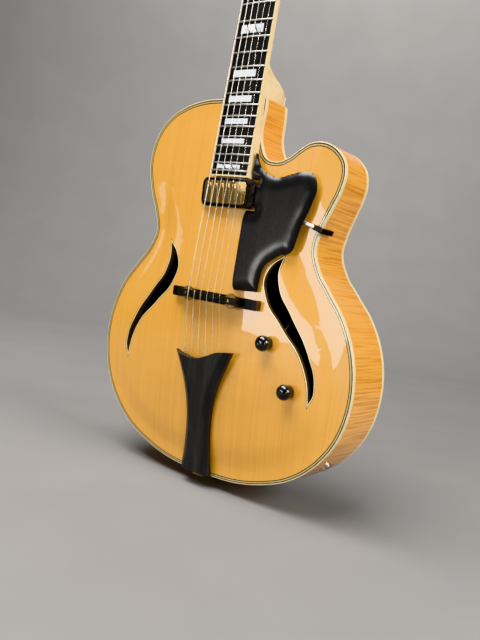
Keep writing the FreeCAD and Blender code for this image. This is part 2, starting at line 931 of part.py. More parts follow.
def make_frets():
    crowns = []
    for number in range(1, fret_count + 1):
        s = fret_distance(number)
        half = fret_width / 2
        left = vec(0, 0, s - half)
        right = vec(0, 0, s + half)
        crown = arc(left, vec(0, -fret_height, s), right)
        section = Part.Face(Part.Wire([crown, line(right, left)]))
        reach = math.degrees(math.asin((board_half(s) - board_binding_width / 3) / board_radius))
        axis_point = vec(0, board_radius, 0)
        section.rotate(axis_point, vec(0, 0, 1), -reach)
        crowns.append(section.revolve(axis_point, vec(0, 0, 1), 2 * reach))
    return onto_neck(group(crowns))


def neck_section(s, depth):
    half = board_half(s)
    left = vec(-half, board_thickness, s)
    right = vec(half, board_thickness, s)
    bow = arc(right, vec(0, board_thickness + depth, s), left)
    return Part.Wire([line(left, right), bow])


heel_start = (body_joint_z - saddle_z) / math.cos(math.radians(neck_angle))


def heel_wire(depth, half, side, reach):
    """The heel's outline at a depth behind the rim's front: straight sides up from the rim, then a bow."""
    y = front_y + depth
    low = body_joint_z - joint_overlap
    left = vec(-half, y, body_joint_z + side)
    right = vec(half, y, body_joint_z + side)
    bow = arc(right, vec(0, y, body_joint_z + reach), left)
    left_foot = vec(-half, y, low)
    right_foot = vec(half, y, low)
    return Part.Wire([line(left_foot, right_foot), line(right_foot, right), bow, line(left, left_foot)])


def make_heel():
    """The heel, drawn through its outlines and trimmed to the rim, the board and the neck's taper."""
    heel = Part.makeLoft([heel_wire(*row) for row in heel_outlines], True)
    reach = heel_outlines[0][3]
    taper = board_prism(0, board_thickness, FAR, heel_start - reach, heel_start + 2 * reach)
    above_rim = block(-FAR, FAR, -FAR, FAR, body_joint_z, body_joint_z + FAR)
    return heel.common(above_rim).common(onto_neck(taper))


def make_heel_cap():
    foot = Part.Face(heel_wire(*heel_outlines[-1])).extrude(vec(0, heel_cap_thickness, 0))
    return foot.common(block(-FAR, FAR, -FAR, FAR, body_joint_z, body_joint_z + FAR))


def head_wire():
    right = [(head_neck_half, 0.0), (head_neck_half + 3.0, 10.0), (head_wide_half, head_wide_at)]
    right += [(between(head_wide_half, head_crown_half, 0.75), between(head_wide_at, head_crown_at, 0.5))]
    right += [(head_crown_half, head_crown_at), (head_crown_half * 0.66, head_length * 0.975)]
    right += [(0.0, head_length)]
    left = [(-x, h) for x, h in reversed(right)]
    edges = curve_through(right, (0.0, 1.0), (-1.0, 0.0)) + curve_through(left, (-1.0, 0.0), (0.0, -1.0))
    edges.append(straight(left[-1], right[0]))
    return closed_wire(edges)


def tuner_places():
    """Side and place on the headstock of each post, strings counted from bass to treble."""
    bass = [(-1, x, h) for x, h in zip(tuner_post_x, tuner_stations)]
    treble = [(1, x, h) for x, h in zip(reversed(tuner_post_x), reversed(tuner_stations))]
    return bass + treble


def post_holes(radius):
    holes = []
    for side, x, h in tuner_places():
        holes.append(rod(radius, vec(side * x, -FAR / 8, h), vec(side * x, FAR / 8, h)))
    return group(holes)


def truss_channel(play):
    """The rod and its nut in the neck's frame, grown by some play."""
    low = heel_start + truss_rod_start
    nut_low = scale_length - 1
    nut_high = nut_low + truss_rod_nut_length + play
    nut_start = vec(0, truss_rod_depth, nut_low)
    channel = rod(truss_rod_radius + play, vec(0, truss_rod_depth, low - play), nut_start)
    nut = rod(truss_rod_nut_radius + play, nut_start, vec(0, truss_rod_depth, nut_high))
    return channel.fuse(nut)


def truss_pocket():
    """The opening in the headstock's face that the truss rod cover hides."""
    half = truss_rod_nut_radius + rod_channel_play
    return block(-half, half, -1, truss_rod_depth, 1.0, cover_length * 0.55)


def nut_room():
    return onto_neck(block(-FAR, FAR, -FAR, board_thickness, scale_length, scale_length + nut_length))


def make_neck():
    shaft_start = heel_start + joint_overlap
    shaft_end = scale_length + nut_length
    sections = [neck_section(shaft_start, neck_depth_at_heel), neck_section(shaft_end, neck_depth_at_nut)]
    shaft = Part.makeLoft(sections, True, True)
    tongue = board_prism(0, board_thickness, board_thickness + neck_depth_at_heel, board_end, shaft_start)
    head = prism(head_wire(), veneer_thickness, veneer_thickness + head_thickness)
    neck = onto_neck(shaft).fuse(onto_neck(tongue).cut(behind_top)).fuse(make_heel())
    neck = neck.fuse(onto_head(head)).cut(nut_room())
    neck = neck.cut(onto_neck(truss_channel(rod_channel_play)))
    neck = neck.cut(onto_head(truss_pocket())).cut(onto_head(post_holes(bushing_radius)))
    return neck.cut(screw_holes()).removeSplitter()


def make_truss_rod():
    return onto_neck(truss_channel(0))


def make_head_veneer():
    plate = prism(head_wire(), 0, veneer_thickness)
    plate = plate.cut(truss_pocket()).cut(post_holes(bushing_radius))
    return onto_head(plate).cut(nut_room()).cut(screw_holes())


def cover_wire():
    right = [(cover_half, 2.0), (cover_half * 0.86, cover_length * 0.35)]
    right += [(cover_half * 0.42, cover_length * 0.72), (0.0, cover_length)]
    left = [(-x, h) for x, h in reversed(right)]
    edges = curve_through(right, (0.0, 1.0)) + curve_through(left, None, (0.0, -1.0))
    edges.append(straight(left[-1], right[0]))
    return closed_wire(edges)


def make_truss_cover():
    return onto_head(prism(cover_wire(), -cover_thickness, 0)).cut(screw_holes())


def cover_screw_places():
    spots = [(-cover_half * 0.68, 5.0), (cover_half * 0.68, 5.0), (0.0, cover_length * 0.8)]
    inward = head_point(0, 1, 0) - head_point(0, 0, 0)
    return [(head_point(x, -cover_thickness, h), inward) for x, h in spots]


def nut_string_x(i):
    return nut_string_span * (i / 5 - 0.5)


def nut_string_point(i):
    """The middle of a string over the nut."""
    return neck_point(nut_string_x(i), -nut_string_height - string_radii[i], scale_length + nut_length / 2)


def make_nut():
    half = board_half(scale_length)
    crest_y = -nut_string_height - string_radii[0]
    body = block(-half, half, crest_y, board_thickness, scale_length, scale_length + nut_length)
    for i, radius in enumerate(string_radii):
        slot_y = -nut_string_height - radius
        x = nut_string_x(i)
        slot = rod(radius + string_clearance, vec(x, slot_y, 0), vec(x, slot_y, FAR * 2))
        above = block(
            nut_string_x(i) - radius - string_clearance, nut_string_x(i) + radius + string_clearance,
            slot_y - 3, slot_y, 0, FAR * 2,
        )
        body = body.cut(slot).cut(above)
    body = onto_neck(body)
    for i, radius in enumerate(string_radii):
        body = body.cut(rod(radius + string_clearance, nut_string_point(i), post_touch(i)[0]))
    return body


# Tuners

head_back = veneer_thickness + head_thickness
worm_offset = gear_radius + worm_gap + worm_radius
worm_y = head_back + housing_depth / 2


def make_bushings():
    sleeves = []
    for side, x, h in tuner_places():
        sleeve = rod(bushing_radius, vec(side * x, 0, h), vec(side * x, head_back, h))
        flange = rod(bushing_flange_radius, vec(side * x, -bushing_flange, h), vec(side * x, 0, h))
        sleeve = sleeve.fuse(flange)
        bore = rod(post_radius + running_clearance, vec(side * x, -FAR / 8, h), vec(side * x, FAR / 8, h))
        sleeves.append(sleeve.cut(bore))
    return onto_head(group(sleeves))


def make_housings():
    cases = []
    for side, x, h in tuner_places():
        z0 = h - housing_length / 2 - worm_offset / 2
        case = block(
            side * x - housing_half_width, side * x + housing_half_width,
            head_back, head_back + housing_depth, z0, z0 + housing_length,
        )
        corners = [e for e in case.Edges if abs(e.tangentAt(e.FirstParameter).y) > 0.9]
        case = case.makeFillet(housing_half_width * 0.35, corners)
        gear_room = rod(
            gear_radius + worm_gap, vec(side * x, head_back, h),
            vec(side * x, worm_y + gear_thickness / 2 + worm_gap, h),
        )
        worm_z = h - worm_offset
        worm_bore = rod(
            worm_radius + running_clearance,
            vec(side * x - side * (housing_half_width - 1.5), worm_y, worm_z),
            vec(side * x + side * housing_length, worm_y, worm_z),
        )
        cases.append(case.cut(gear_room).cut(worm_bore))
    return onto_head(group(cases)).cut(screw_holes())


def housing_screw_places():
    spots = []
    for side, x, h in tuner_places():
        z = h - worm_offset / 2 + housing_length / 2 - 3.2
        outward = head_point(0, -1, 0) - head_point(0, 0, 0)
        spots.append((head_point(side * (x - 4.2), head_back + housing_depth, z), outward))
    return spots


def make_post(side, x, h):
    foot = worm_y + gear_thickness / 2
    post = rod(post_radius, vec(side * x, -post_rise, h), vec(side * x, foot, h))
    gear = rod(gear_radius, vec(side * x, worm_y - gear_thickness / 2, h), vec(side * x, foot, h))
    return onto_head(post.fuse(gear).removeSplitter())


def make_button(side, x, h):
    """Worm shaft and the flattened, rounded button at its outer end; bass buttons are mirror images."""
    z = h - worm_offset
    stem_end = x + housing_half_width + button_stem
    shaft = rod(worm_radius, vec(x - housing_half_width + 2.5, worm_y, z), vec(stem_end, worm_y, z))
    knob = Part.makeSphere(1.0)
    stretch = FreeCAD.Matrix()
    stretch.scale(vec(button_length / 2, button_half_thickness, button_half_width))
    knob = knob.transformGeometry(stretch)
    knob.translate(vec(stem_end + button_length / 2 - 1.0, worm_y, z))
    button = shaft.fuse(knob)
    if side < 0:
        button = button.mirror(vec(0, 0, 0), vec(1, 0, 0))
    return onto_head(button)


# Strings

def saddle_string_x(i):
    return saddle_string_span * (i / 5 - 0.5)


def anchor_point(i):
    """Where a string enters the tailpiece."""
    x = anchor_string_span * (i / 5 - 0.5)
    return vec(x, rise_y(anchor_string_rise), crest_z(x) + 1.0)


def crest_z(x):
    """Height of the tailpiece's wavy upper edge, between its points."""
    for (x1, z1), (x2, z2) in zip(tailpiece_crest, tailpiece_crest[1:]):
        if x <= x2:
            return saddle_z + between(z1, z2, (x - x1) / (x2 - x1))
    return saddle_z + tailpiece_crest[-1][1]


def string_saddle_point(i):
    return vec(saddle_string_x(i), rise_y(saddle_string_rise) - string_radii[i], saddle_z)


def string_start(i):
    entry = anchor_point(i)
    inward = (entry - string_saddle_point(i)).normalize()
    return entry + inward * (anchor_bore_depth - ball_length), inward


def post_touch(i):
    """Where a string meets its post's wrap: the point, its place on the headstock and its level there."""
    nut_head = to_head_frame(nut_string_point(i))
    side, post_x, post_h = tuner_places()[i]
    wrap = post_radius + post_wrap_gap + string_radii[i]
    dx = side * post_x - nut_head.x
    dh = post_h - nut_head.z
    reach = math.hypot(dx, dh)
    angle = math.atan2(dx, dh) - side * math.asin(wrap / reach)
    run = math.sqrt(reach * reach - wrap * wrap)
    spot = (nut_head.x + run * math.sin(angle), nut_head.z + run * math.cos(angle))
    return head_point(spot[0], nut_head.y, spot[1]), spot, nut_head.y


def make_string(i):
    """Ball end, saddle, nut, and most of a turn round the post, as one line of runs and arcs."""
    start, inward = string_start(i)
    side, post_x, post_h = tuner_places()[i]
    touch, spot, level = post_touch(i)
    edges = bent_line([start, string_saddle_point(i), nut_string_point(i), touch], string_bend_radius)
    edges += wrap_edges(side * post_x, post_h, level, spot, side)
    body = sweep(edges, string_radii[i], fine_wire_sides)
    ball = Part.makeCylinder(ball_radius, ball_length, start, inward)
    return body.fuse(ball)


def bent_line(points, bends):
    """Straight runs with a tangent arc at each inner point."""
    edges = []
    start = points[0]
    for i in range(1, len(points) - 1):
        one = (points[i - 1] - points[i]).normalize()
        two = (points[i + 1] - points[i]).normalize()
        turn = math.pi - one.getAngle(two)
        trim = bends * math.tan(turn / 2)
        middle = points[i] + (one + two).normalize() * (bends / math.cos(turn / 2) - bends)
        edges.append(line(start, points[i] + one * trim))
        edges.append(arc(points[i] + one * trim, middle, points[i] + two * trim))
        start = points[i] + two * trim
    edges.append(line(start, points[-1]))
    return edges


def to_head_frame(point):
    """A point of the row frame in the headstock's own frame."""
    origin = head_point(0, 0, 0)
    across = head_point(0, 1, 0) - origin
    along = head_point(0, 0, 1) - origin
    offset = point - origin
    return vec(offset.x, offset.dot(across), offset.dot(along))


def wrap_edges(post_x, post_h, level, touch, side):
    """Two arcs that carry the string on round its post from the touching point."""
    radius = math.hypot(touch[0] - post_x, touch[1] - post_h)
    start_angle = math.atan2(touch[1] - post_h, touch[0] - post_x)
    step = math.radians(wrap_turn) / 4
    stops = [start_angle - side * step * k for k in range(5)]
    points = [head_point(post_x + radius * math.cos(a), level, post_h + radius * math.sin(a)) for a in stops]
    first = arc(points[0], points[1], points[2])
    second = arc(points[2], points[3], points[4])
    return [first, second]


# Bridge

base_front_y = rise_y(bridge_base_rise)
saddle_bottom_y = base_front_y - wheel_drop - thumbwheel_thickness - wheel_seat_gap


def make_bridge_base():
    """Long foot cut to the arch of the top, with a low opening in the middle of its underside."""
    half_z = bridge_base_width / 2
    plan = rounded_rectangle(bridge_base_half, half_z, saddle_z, half_z * 0.45)
    whole = prism(plan, base_front_y, deep_back)
    whole.translate(vec(bridge_base_shift, 0, 0))
    base = whole.cut(behind_top)
    relief_y = rise_y(arch_at(0, saddle_z) + bridge_arch_height)
    relief = block(-bridge_foot_half, bridge_foot_half, relief_y, deep_back, saddle_z - FAR, saddle_z + FAR)
    base = base.cut(relief)
    for side in (-1, 1):
        x = side * bridge_post_x
        bore_end = vec(x, base_front_y + bridge_post_sink, saddle_z)
        base = base.cut(rod(bridge_post_radius, vec(x, base_front_y - 1, saddle_z), bore_end))
    return base


def make_bridge_posts():
    posts = []
    for side in (-1, 1):
        x = side * bridge_post_x
        top = saddle_bottom_y - bridge_post_reach
        foot = vec(x, base_front_y + bridge_post_sink, saddle_z)
        posts.append(rod(bridge_post_radius, foot, vec(x, top, saddle_z)))
    return group(posts)


def make_thumbwheel(side):
    x = side * bridge_post_x
    y_low = base_front_y - wheel_drop
    wheel = rod(thumbwheel_radius, vec(x, y_low, saddle_z), vec(x, y_low - thumbwheel_thickness, saddle_z))
    bore_radius = bridge_post_radius + running_clearance
    wheel = wheel.cut(rod(bore_radius, vec(x, y_low + 1, saddle_z), vec(x, y_low - FAR, saddle_z)))
    for k in range(thumbwheel_notches):
        angle = 2 * math.pi * k / thumbwheel_notches
        spot_x = x + thumbwheel_radius * math.cos(angle)
        spot_z = saddle_z + thumbwheel_radius * math.sin(angle)
        start = vec(spot_x, y_low + 1, spot_z)
        wheel = wheel.cut(rod(thumbwheel_notch_radius, start, vec(spot_x, y_low - FAR, spot_z)))
    return wheel


def make_saddle():
    """Block on the thumbwheels with six stepped crests, each under its string."""
    crest_y = rise_y(saddle_string_rise)
    shelf_y = crest_y + saddle_ridge_height
    half_z = saddle_width / 2
    body = prism(rounded_rectangle(saddle_half, half_z, saddle_z, half_z * 0.6), shelf_y, saddle_bottom_y)
    spacing = saddle_string_span / 5
    for i, step in enumerate(saddle_steps):
        x = saddle_string_x(i)
        crest = block(
            x - spacing / 2, x + spacing / 2, crest_y, shelf_y + 1,
            saddle_z + step - saddle_ridge_width / 2, saddle_z + step + saddle_ridge_width / 2,
        )
        body = body.fuse(crest)
    for i, radius in enumerate(string_radii):
        centre = string_saddle_point(i)
        for far_end in (anchor_point(i), nut_string_point(i)):
            body = body.cut(rod(radius + string_clearance, centre, far_end))
    for side in (-1, 1):
        x = side * bridge_post_x
        bore_end = vec(x, shelf_y - 1, saddle_z)
        body = body.cut(rod(bridge_post_radius + running_clearance, vec(x, base_front_y, saddle_z), bore_end))
    return body.removeSplitter()


# Tailpiece

def tailpiece_base_y(z):
    """The y of the tailpiece's underside at a height."""
    share = (z - tailpiece_start_z) / tailpiece_length
    return rise_y(between(tailpiece_tail_rise, tailpiece_head_rise, share))


def tailpiece_section(share, half):
    z = tailpiece_start_z + share * tailpiece_length
    y0 = tailpiece_base_y(z)
    y1 = y0 - tailpiece_edge
    y2 = y1 - tailpiece_bevel_rise
    flat = half - tailpiece_bevel_width
    lean = share * tailpiece_lean
    corners = [(-half, y0), (half, y0), (half, y1), (flat, y2), (-flat, y2), (-half, y1), (-half, y0)]
    return Part.makePolygon([vec(lean + x, y, z) for x, y in corners])


def make_tailpiece():
    body = Part.makeLoft([tailpiece_section(*station) for station in tailpiece_stations], True, False)
    crest = [(x, saddle_z + z) for x, z in tailpiece_crest]
    edges = curve_through(crest)
    left = crest[0]
    right = crest[-1]
    high = right[1] + FAR / 4
    far = FAR / 4
    edges.append(straight(right, (far, right[1])))
    edges.append(straight((far, right[1]), (far, high)))
    edges.append(straight((far, high), (-far, high)))
    edges.append(straight((-far, high), (-far, left[1])))
    edges.append(straight((-far, left[1]), left))
    body = body.cut(prism(closed_wire(edges), -FAR, FAR))
    for i in range(len(string_radii)):
        entry = anchor_point(i)
        inward = (entry - string_saddle_point(i)).normalize()
        start = entry - inward * anchor_bore_lead
        bore = Part.makeCylinder(anchor_bore_radius, anchor_bore_depth + anchor_bore_lead, start, inward)
        body = body.cut(bore)
    return body


def make_hanger():
    """Strap under the tailpiece, over the edge of the rim and down to the end pin."""
    z_high = tailpiece_start_z + hanger_span
    y_high = tailpiece_base_y(z_high)
    y_tail = tailpiece_base_y(0)
    t = hanger_thickness
    profile = [(y_high, z_high), (y_tail, 0.0), (y_tail + 1.0, -2 * t), (end_pin_flange_radius, -2 * t)]
    profile += [(end_pin_flange_radius, -t * 0.5), (y_tail + t + 1.2, -t * 0.5)]
    profile += [(y_tail + t + 0.4, 1.0), (y_high + t, z_high)]
    corners = [vec(-hanger_half, y, z) for y, z in profile]
    face = Part.Face(Part.makePolygon(corners + corners[:1]))
    strap = face.extrude(vec(2 * hanger_half, 0, 0))
    strap = strap.cut(rod(end_pin_radius, vec(0, 0, 5), vec(0, 0, -20)))
    return strap.cut(prism(outline, -FAR, FAR).common(depth_slab(0, 0)))


def make_end_pin():
    z0 = -2 * hanger_thickness - end_pin_groove
    shank = rod(end_pin_radius, vec(0, 0, side_thickness + end_pin_shank), vec(0, 0, z0))
    knob = rod(end_pin_flange_radius, vec(0, 0, z0), vec(0, 0, z0 - end_pin_flange))
    return shank.fuse(knob).removeSplitter()


# Pickup

def height_screw_bore(x):
    radius = height_screw_radius + running_clearance
    return rod(radius, vec(x, rise_y(FAR / 4), pickup_z), vec(x, deep_back, pickup_z))


def make_pickup_ring():
    plan = rounded_rectangle(ring_half, ring_width / 2, pickup_z, ring_corner)
    outer = prism(plan, rise_y(ring_rise), deep_back)
    half_x = cover_half_length + pickup_play
    inner = rounded_rectangle(half_x, cover_width / 2 + pickup_play, pickup_z, cover_corner)
    frame = outer.cut(prism(inner, rise_y(FAR / 4), deep_back + 1)).cut(behind_top)
    for side in (-1, 1):
        x = side * height_screw_x
        frame = frame.cut(height_screw_bore(x))
    return frame.cut(screw_holes())


def ring_screw_places():
    spots = []
    for sx in (-1, 1):
        for sz in (-1, 1):
            x = sx * (ring_half - ring_screw_inset)
            z = pickup_z + sz * (ring_width / 2 - ring_screw_inset)
            spots.append((vec(x, rise_y(ring_rise), z), vec(0, 1, 0)))
    return spots


def make_pickup_cover():
    shape = rounded_rectangle(cover_half_length, cover_width / 2, pickup_z, cover_corner)
    shell = prism(shape, rise_y(cover_rise), rise_y(cover_rise - cover_depth))
    half_x = cover_half_length - cover_wall
    half_z = cover_width / 2 - cover_wall
    room = rounded_rectangle(half_x, half_z, pickup_z, cover_corner - cover_wall)
    shell = shell.cut(prism(room, rise_y(cover_rise - cover_wall), rise_y(0) + FAR))
    for place in pole_places():
        shell = shell.cut(rod(pole_radius + running_clearance, place - vec(0, 5, 0), place + vec(0, 5, 0)))
    return shell


def pole_places():
    return [vec(pole_spacing * (i - 2.5), rise_y(cover_rise), pickup_z + pole_offset) for i in range(6)]


def make_pickup_core():
    """Coils, magnet and base plate under the cover, with ears for the height screws."""
    half_x = cover_half_length - cover_wall
    half_z = cover_width / 2 - cover_wall
    y_base = rise_y(cover_rise - cover_depth)
    plan = rounded_rectangle(half_x, half_z, pickup_z, cover_corner - cover_wall)
    coils = prism(plan, rise_y(cover_rise - cover_wall), y_base)
    ear = height_screw_x + height_screw_head - pickup_play
    ears = block(-ear, ear, y_base, y_base + base_plate_thickness, pickup_z - half_z, pickup_z + half_z)
    core = coils.fuse(ears)
    for place in pole_places():
        core = core.cut(rod(pole_radius, place - vec(0, 5, 0), place + vec(0, cover_depth - 2, 0)))
    for side in (-1, 1):
        x = side * height_screw_x
        core = core.cut(height_screw_bore(x))
    return core


def make_pole_screws():
    screws = []
    for place in pole_places():
        screws.append(rod(pole_radius, place - vec(0, pole_proud, 0), place + vec(0, cover_depth - 2, 0)))
    return group(screws)


def make_height_screw(side):
    x = side * height_screw_x
    seat = vec(x, rise_y(ring_rise), pickup_z)
    shank = rod(height_screw_radius, seat, seat + vec(0, height_screw_length, 0))
    head = rod(height_screw_head, seat, seat - vec(0, 1.4, 0))
    return shank.fuse(head).removeSplitter()


# Pickguard

def make_guard():
    left = list(guard_left)
    right = list(guard_right)
    edges = curve_through([left[-1]] + right)
    edges += [straight(right[-1], left[0])]
    edges += [straight(a, b) for a, b in zip(left, left[1:])]
    plate = prism(closed_wire(edges), 0, guard_thickness)
    plate = onto_guard(plate)
    gap = guard_ring_gap
    half_z = ring_width / 2 + gap
    notch = block(-FAR, ring_half + gap, -FAR, FAR, pickup_z - half_z, pickup_z + half_z)
    board_room = onto_neck(board_prism(-gap * 0.4, -FAR, FAR, board_end - gap, scale_length))
    return plate.cut(notch).cut(board_room)


def bracket_frame():
    """Point on the rim's edge under the bracket, and the outward direction there."""
    mark = Part.Vertex(vec(bracket_edge[0], 0, bracket_edge[1]))
    spot = outline.distToShape(mark)[1][0][0]
    inner_spot = inset(side_thickness).distToShape(Part.Vertex(spot))[1][0][0]
    return spot, (spot - inner_spot).normalize()


def guard_back_y(z):
    return rise_y(guard_rise_low) + guard_thickness + (z - guard_low_z) * math.tan(math.radians(guard_slope))


def make_bracket_rod():
    spot, out = bracket_frame()
    inner_y = guard_back_y(bracket_inner[1]) + bracket_rod_radius + 0.05
    inner = vec(bracket_inner[0], inner_y, bracket_inner[1])
    end_y = front_y - clamp_thickness / 2 - 0.5
    end = vec(spot.x, end_y, spot.z) - out * (clamp_inset - 1.0)
    return rod(bracket_rod_radius, inner, end)


def make_clamp():
    """Ebony hook over the edge of the body, with a leg down the side."""
    spot, out = bracket_frame()
    along = vec(-out.z, 0, out.x)
    gap = 0.3
    y_front = front_y - gap - clamp_thickness
    outside = gap + clamp_thickness
    profile = [(-clamp_inset, y_front), (outside, y_front), (outside, front_y + clamp_leg)]
    profile += [(gap, front_y + clamp_leg), (gap, front_y - gap), (-clamp_inset, front_y - gap)]
    corners = [vec(spot.x, y, spot.z) + out * a - along * clamp_half for a, y in profile]
    solid = Part.Face(Part.makePolygon(corners + corners[:1])).extrude(along * (2 * clamp_half))
    return solid.cut(make_bracket_rod())


# Controls

def knob_seat(place):
    x, z = place
    return rise_y(arch_at(x, z))


def make_knob(place):
    """Domed knob with a waist, and the shaft that it is pressed on."""
    x, z = place
    y0 = knob_seat(place) - knob_lift
    profile = [(0.0, 0.0), (knob_waist_radius, 0.0), (knob_waist_radius * 0.92, knob_height * 0.3)]
    points = [vec(r, 0, h) for r, h in profile]
    dome_start = vec(knob_radius * 0.97, 0, knob_height * 0.48)
    dome_middle = vec(knob_radius * 0.78, 0, knob_height * 0.85)
    crown_rim = vec(knob_radius * 0.12, 0, knob_height)
    crown = vec(0, 0, knob_height)
    edges = [line(points[0], points[1]), line(points[1], points[2]), line(points[2], dome_start)]
    edges.append(arc(dome_start, dome_middle, crown_rim))
    edges += [line(crown_rim, crown), line(crown, points[0])]
    knob = Part.Face(Part.Wire(edges)).revolve(vec(0, 0, 0), vec(0, 0, 1), 360)
    knob.rotate(vec(0, 0, 0), vec(1, 0, 0), 90)
    knob.translate(vec(x, y0, z))
    recess = rod(pot_nut_radius + 0.8, vec(x, y0 + 1, z), vec(x, y0 - pot_nut_height - 1.5, z))
    shaft_top = y0 - knob_height * 0.75
    shaft = rod(pot_shaft_radius, vec(x, knob_seat(place) + plate_thickness + 3.0, z), vec(x, shaft_top, z))
    shaft_bore = rod(pot_shaft_radius + running_clearance, vec(x, y0 + knob_height, z), vec(x, shaft_top, z))
    knob = knob.cut(recess).cut(shaft_bore)
    return group([knob.Solids[0], shaft])


def make_pot(place):
    x, z = place
    seat = knob_seat(place)
    inside = seat + plate_thickness + 3.0
    can = rod(pot_radius, vec(x, inside, z), vec(x, inside + pot_depth, z))
    collar = rod(pot_bushing_radius, vec(x, inside, z), vec(x, seat - 1.0, z))
    nut = rod(pot_nut_radius, vec(x, seat - 0.2, z), vec(x, seat - pot_nut_height, z)).cut(behind_top)
    bore = rod(pot_shaft_radius + running_clearance, vec(x, inside, z), vec(x, seat - FAR, z))
    pot = can.fuse(collar).fuse(nut).cut(bore)
    return pot.removeSplitter()


def make_harness():
    """Both potentiometers, and the leads from the pickup to them and on to the jack."""
    pots = [make_pot(place) for place in knob_places.values()]
    ends = []
    for x, z in knob_places.values():
        ends.append(vec(x, knob_seat((x, z)) + plate_thickness + 3.0 + pot_depth + lead_radius, z))
    hot_y = rise_y(cover_rise - cover_depth) + base_plate_thickness + lead_radius + 2.4
    hot = vec(cover_half_length * 0.5, hot_y, pickup_z)
    deep = front_y + 32.0
    jack_end = jack_spot - jack_out * (jack_length - jack_flange)
    volume, tone = ends
    route = [hot, vec(hot.x, deep, hot.z - 20), vec(volume.x, deep, volume.z + 30), volume]
    first = sweep(bent_line(route, 8.0), lead_radius)
    dip = vec(volume.x + 12, deep, volume.z - 8)
    rise = vec(tone.x - 4, deep, tone.z + 8)
    route = [volume + vec(6, 0, 0), dip, rise, tone]
    second = sweep(bent_line(route, 5.0), lead_radius)
    route = [tone + vec(6, 0, 0), vec(tone.x + 8, deep, tone.z - 24), jack_end - jack_out * 14, jack_end]
    third = sweep(bent_line(route, 6.0), lead_radius)
    return group(pots + [first, second, third])


def make_jack():
    inner = jack_spot - jack_out * (jack_length - jack_flange)
    seat = jack_spot + jack_out * 0.2
    outer = seat + jack_out * jack_flange
    sleeve = rod(jack_sleeve_radius, inner, outer).fuse(rod(jack_flange_radius, seat, outer))
    bore = rod(jack_bore_radius, inner + jack_out * 3.0, outer + jack_out)
    return sleeve.cut(bore).removeSplitter()


def make_wood_screws():
    screws = []
    for seat, inward in screw_places():
        shank = Part.makeCylinder(screw_radius, screw_length, seat, inward)
        head = Part.makeCylinder(screw_head_radius, screw_head, seat - inward * screw_head, inward)
        closed = [edge for edge in head.Edges if edge.Closed]
        rim_edge = [edge for edge in closed if (edge.CenterOfMass - seat).dot(inward) < -screw_head / 2]
        head = head.makeFillet(screw_head * 0.6, rim_edge)
        screws.append(shank.fuse(head))
    return group(screws)


def make_all():
    nodes = {}
    nodes["top_plate"] = make_top_plate()
    nodes["back_plate"] = make_back_plate()
    nodes["rim_sides"] = make_rim()
    nodes["top_binding"], nodes["black_purfling"], nodes["cream_purfling"] = make_top_trim()
    nodes["back_binding"] = make_back_binding()
    nodes["sound_hole_bindings"] = group(hole_trim(0, hole_binding_width))
    nodes["tone_bars"] = make_tone_bars()
    nodes["neck_block"] = make_neck_block()
    nodes["tail_block"] = make_tail_block()
    nodes["linings"] = make_linings()
    nodes["neck"] = make_neck()
    nodes["heel_cap"] = make_heel_cap()
    nodes["truss_rod"] = make_truss_rod()
    nodes["fingerboard"], nodes["fingerboard_binding"], nodes["inlays"] = make_fingerboard()
    nodes["frets"] = make_frets()
    nodes["nut"] = make_nut()
    nodes["head_veneer"] = make_head_veneer()
    nodes["truss_rod_cover"] = make_truss_cover()
    nodes["wood_screws"] = make_wood_screws()
    nodes["tuner_housings"] = make_housings()
    nodes["tuner_bushings"] = make_bushings()
    for i, place in enumerate(tuner_places()):
        nodes["tuner_post_%d" % (i + 1)] = make_post(*place)
        nodes["tuner_button_%d" % (i + 1)] = make_button(*place)
    strings = [make_string(i) for i in range(len(string_radii))]
    nodes["wound_strings"] = group(strings[:4])
    nodes["plain_strings"] = group(strings[4:])
    nodes["bridge_base"] = make_bridge_base()
    nodes["bridge_posts"] = make_bridge_posts()
    nodes["thumbwheel_bass"] = make_thumbwheel(-1)
    nodes["thumbwheel_treble"] = make_thumbwheel(1)
    nodes["bridge_saddle"] = make_saddle()
    nodes["tailpiece"] = make_tailpiece()
    nodes["tail_hanger"] = make_hanger()
    nodes["end_pin"] = make_end_pin()
    nodes["pickup_ring"] = make_pickup_ring()
    nodes["pickup_cover"] = make_pickup_cover()
    nodes["pickup_core"] = make_pickup_core()
    nodes["pole_screws"] = make_pole_screws()
    nodes["height_screw_bass"] = make_height_screw(-1)
    nodes["height_screw_treble"] = make_height_screw(1)
    nodes["pickguard"] = make_guard()
    nodes["guard_rod"] = make_bracket_rod()
    nodes["guard_clamp"] = make_clamp()
    nodes["knob_volume"] = make_knob(knob_places["volume"])
    nodes["knob_tone"] = make_knob(knob_places["tone"])
    nodes["control_harness"] = make_harness()
    nodes["output_jack"] = make_jack()
    return nodes


os.makedirs("parts", exist_ok=True)
for name, shape in make_all().items():
    shape.exportStep("parts/" + name + ".step")
    print(name, len(shape.Solids), shape.isValid(), round(shape.Volume / 1000.0, 2))
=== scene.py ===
import json
import math

import bmesh
import bpy
from mathutils import Matrix, Vector

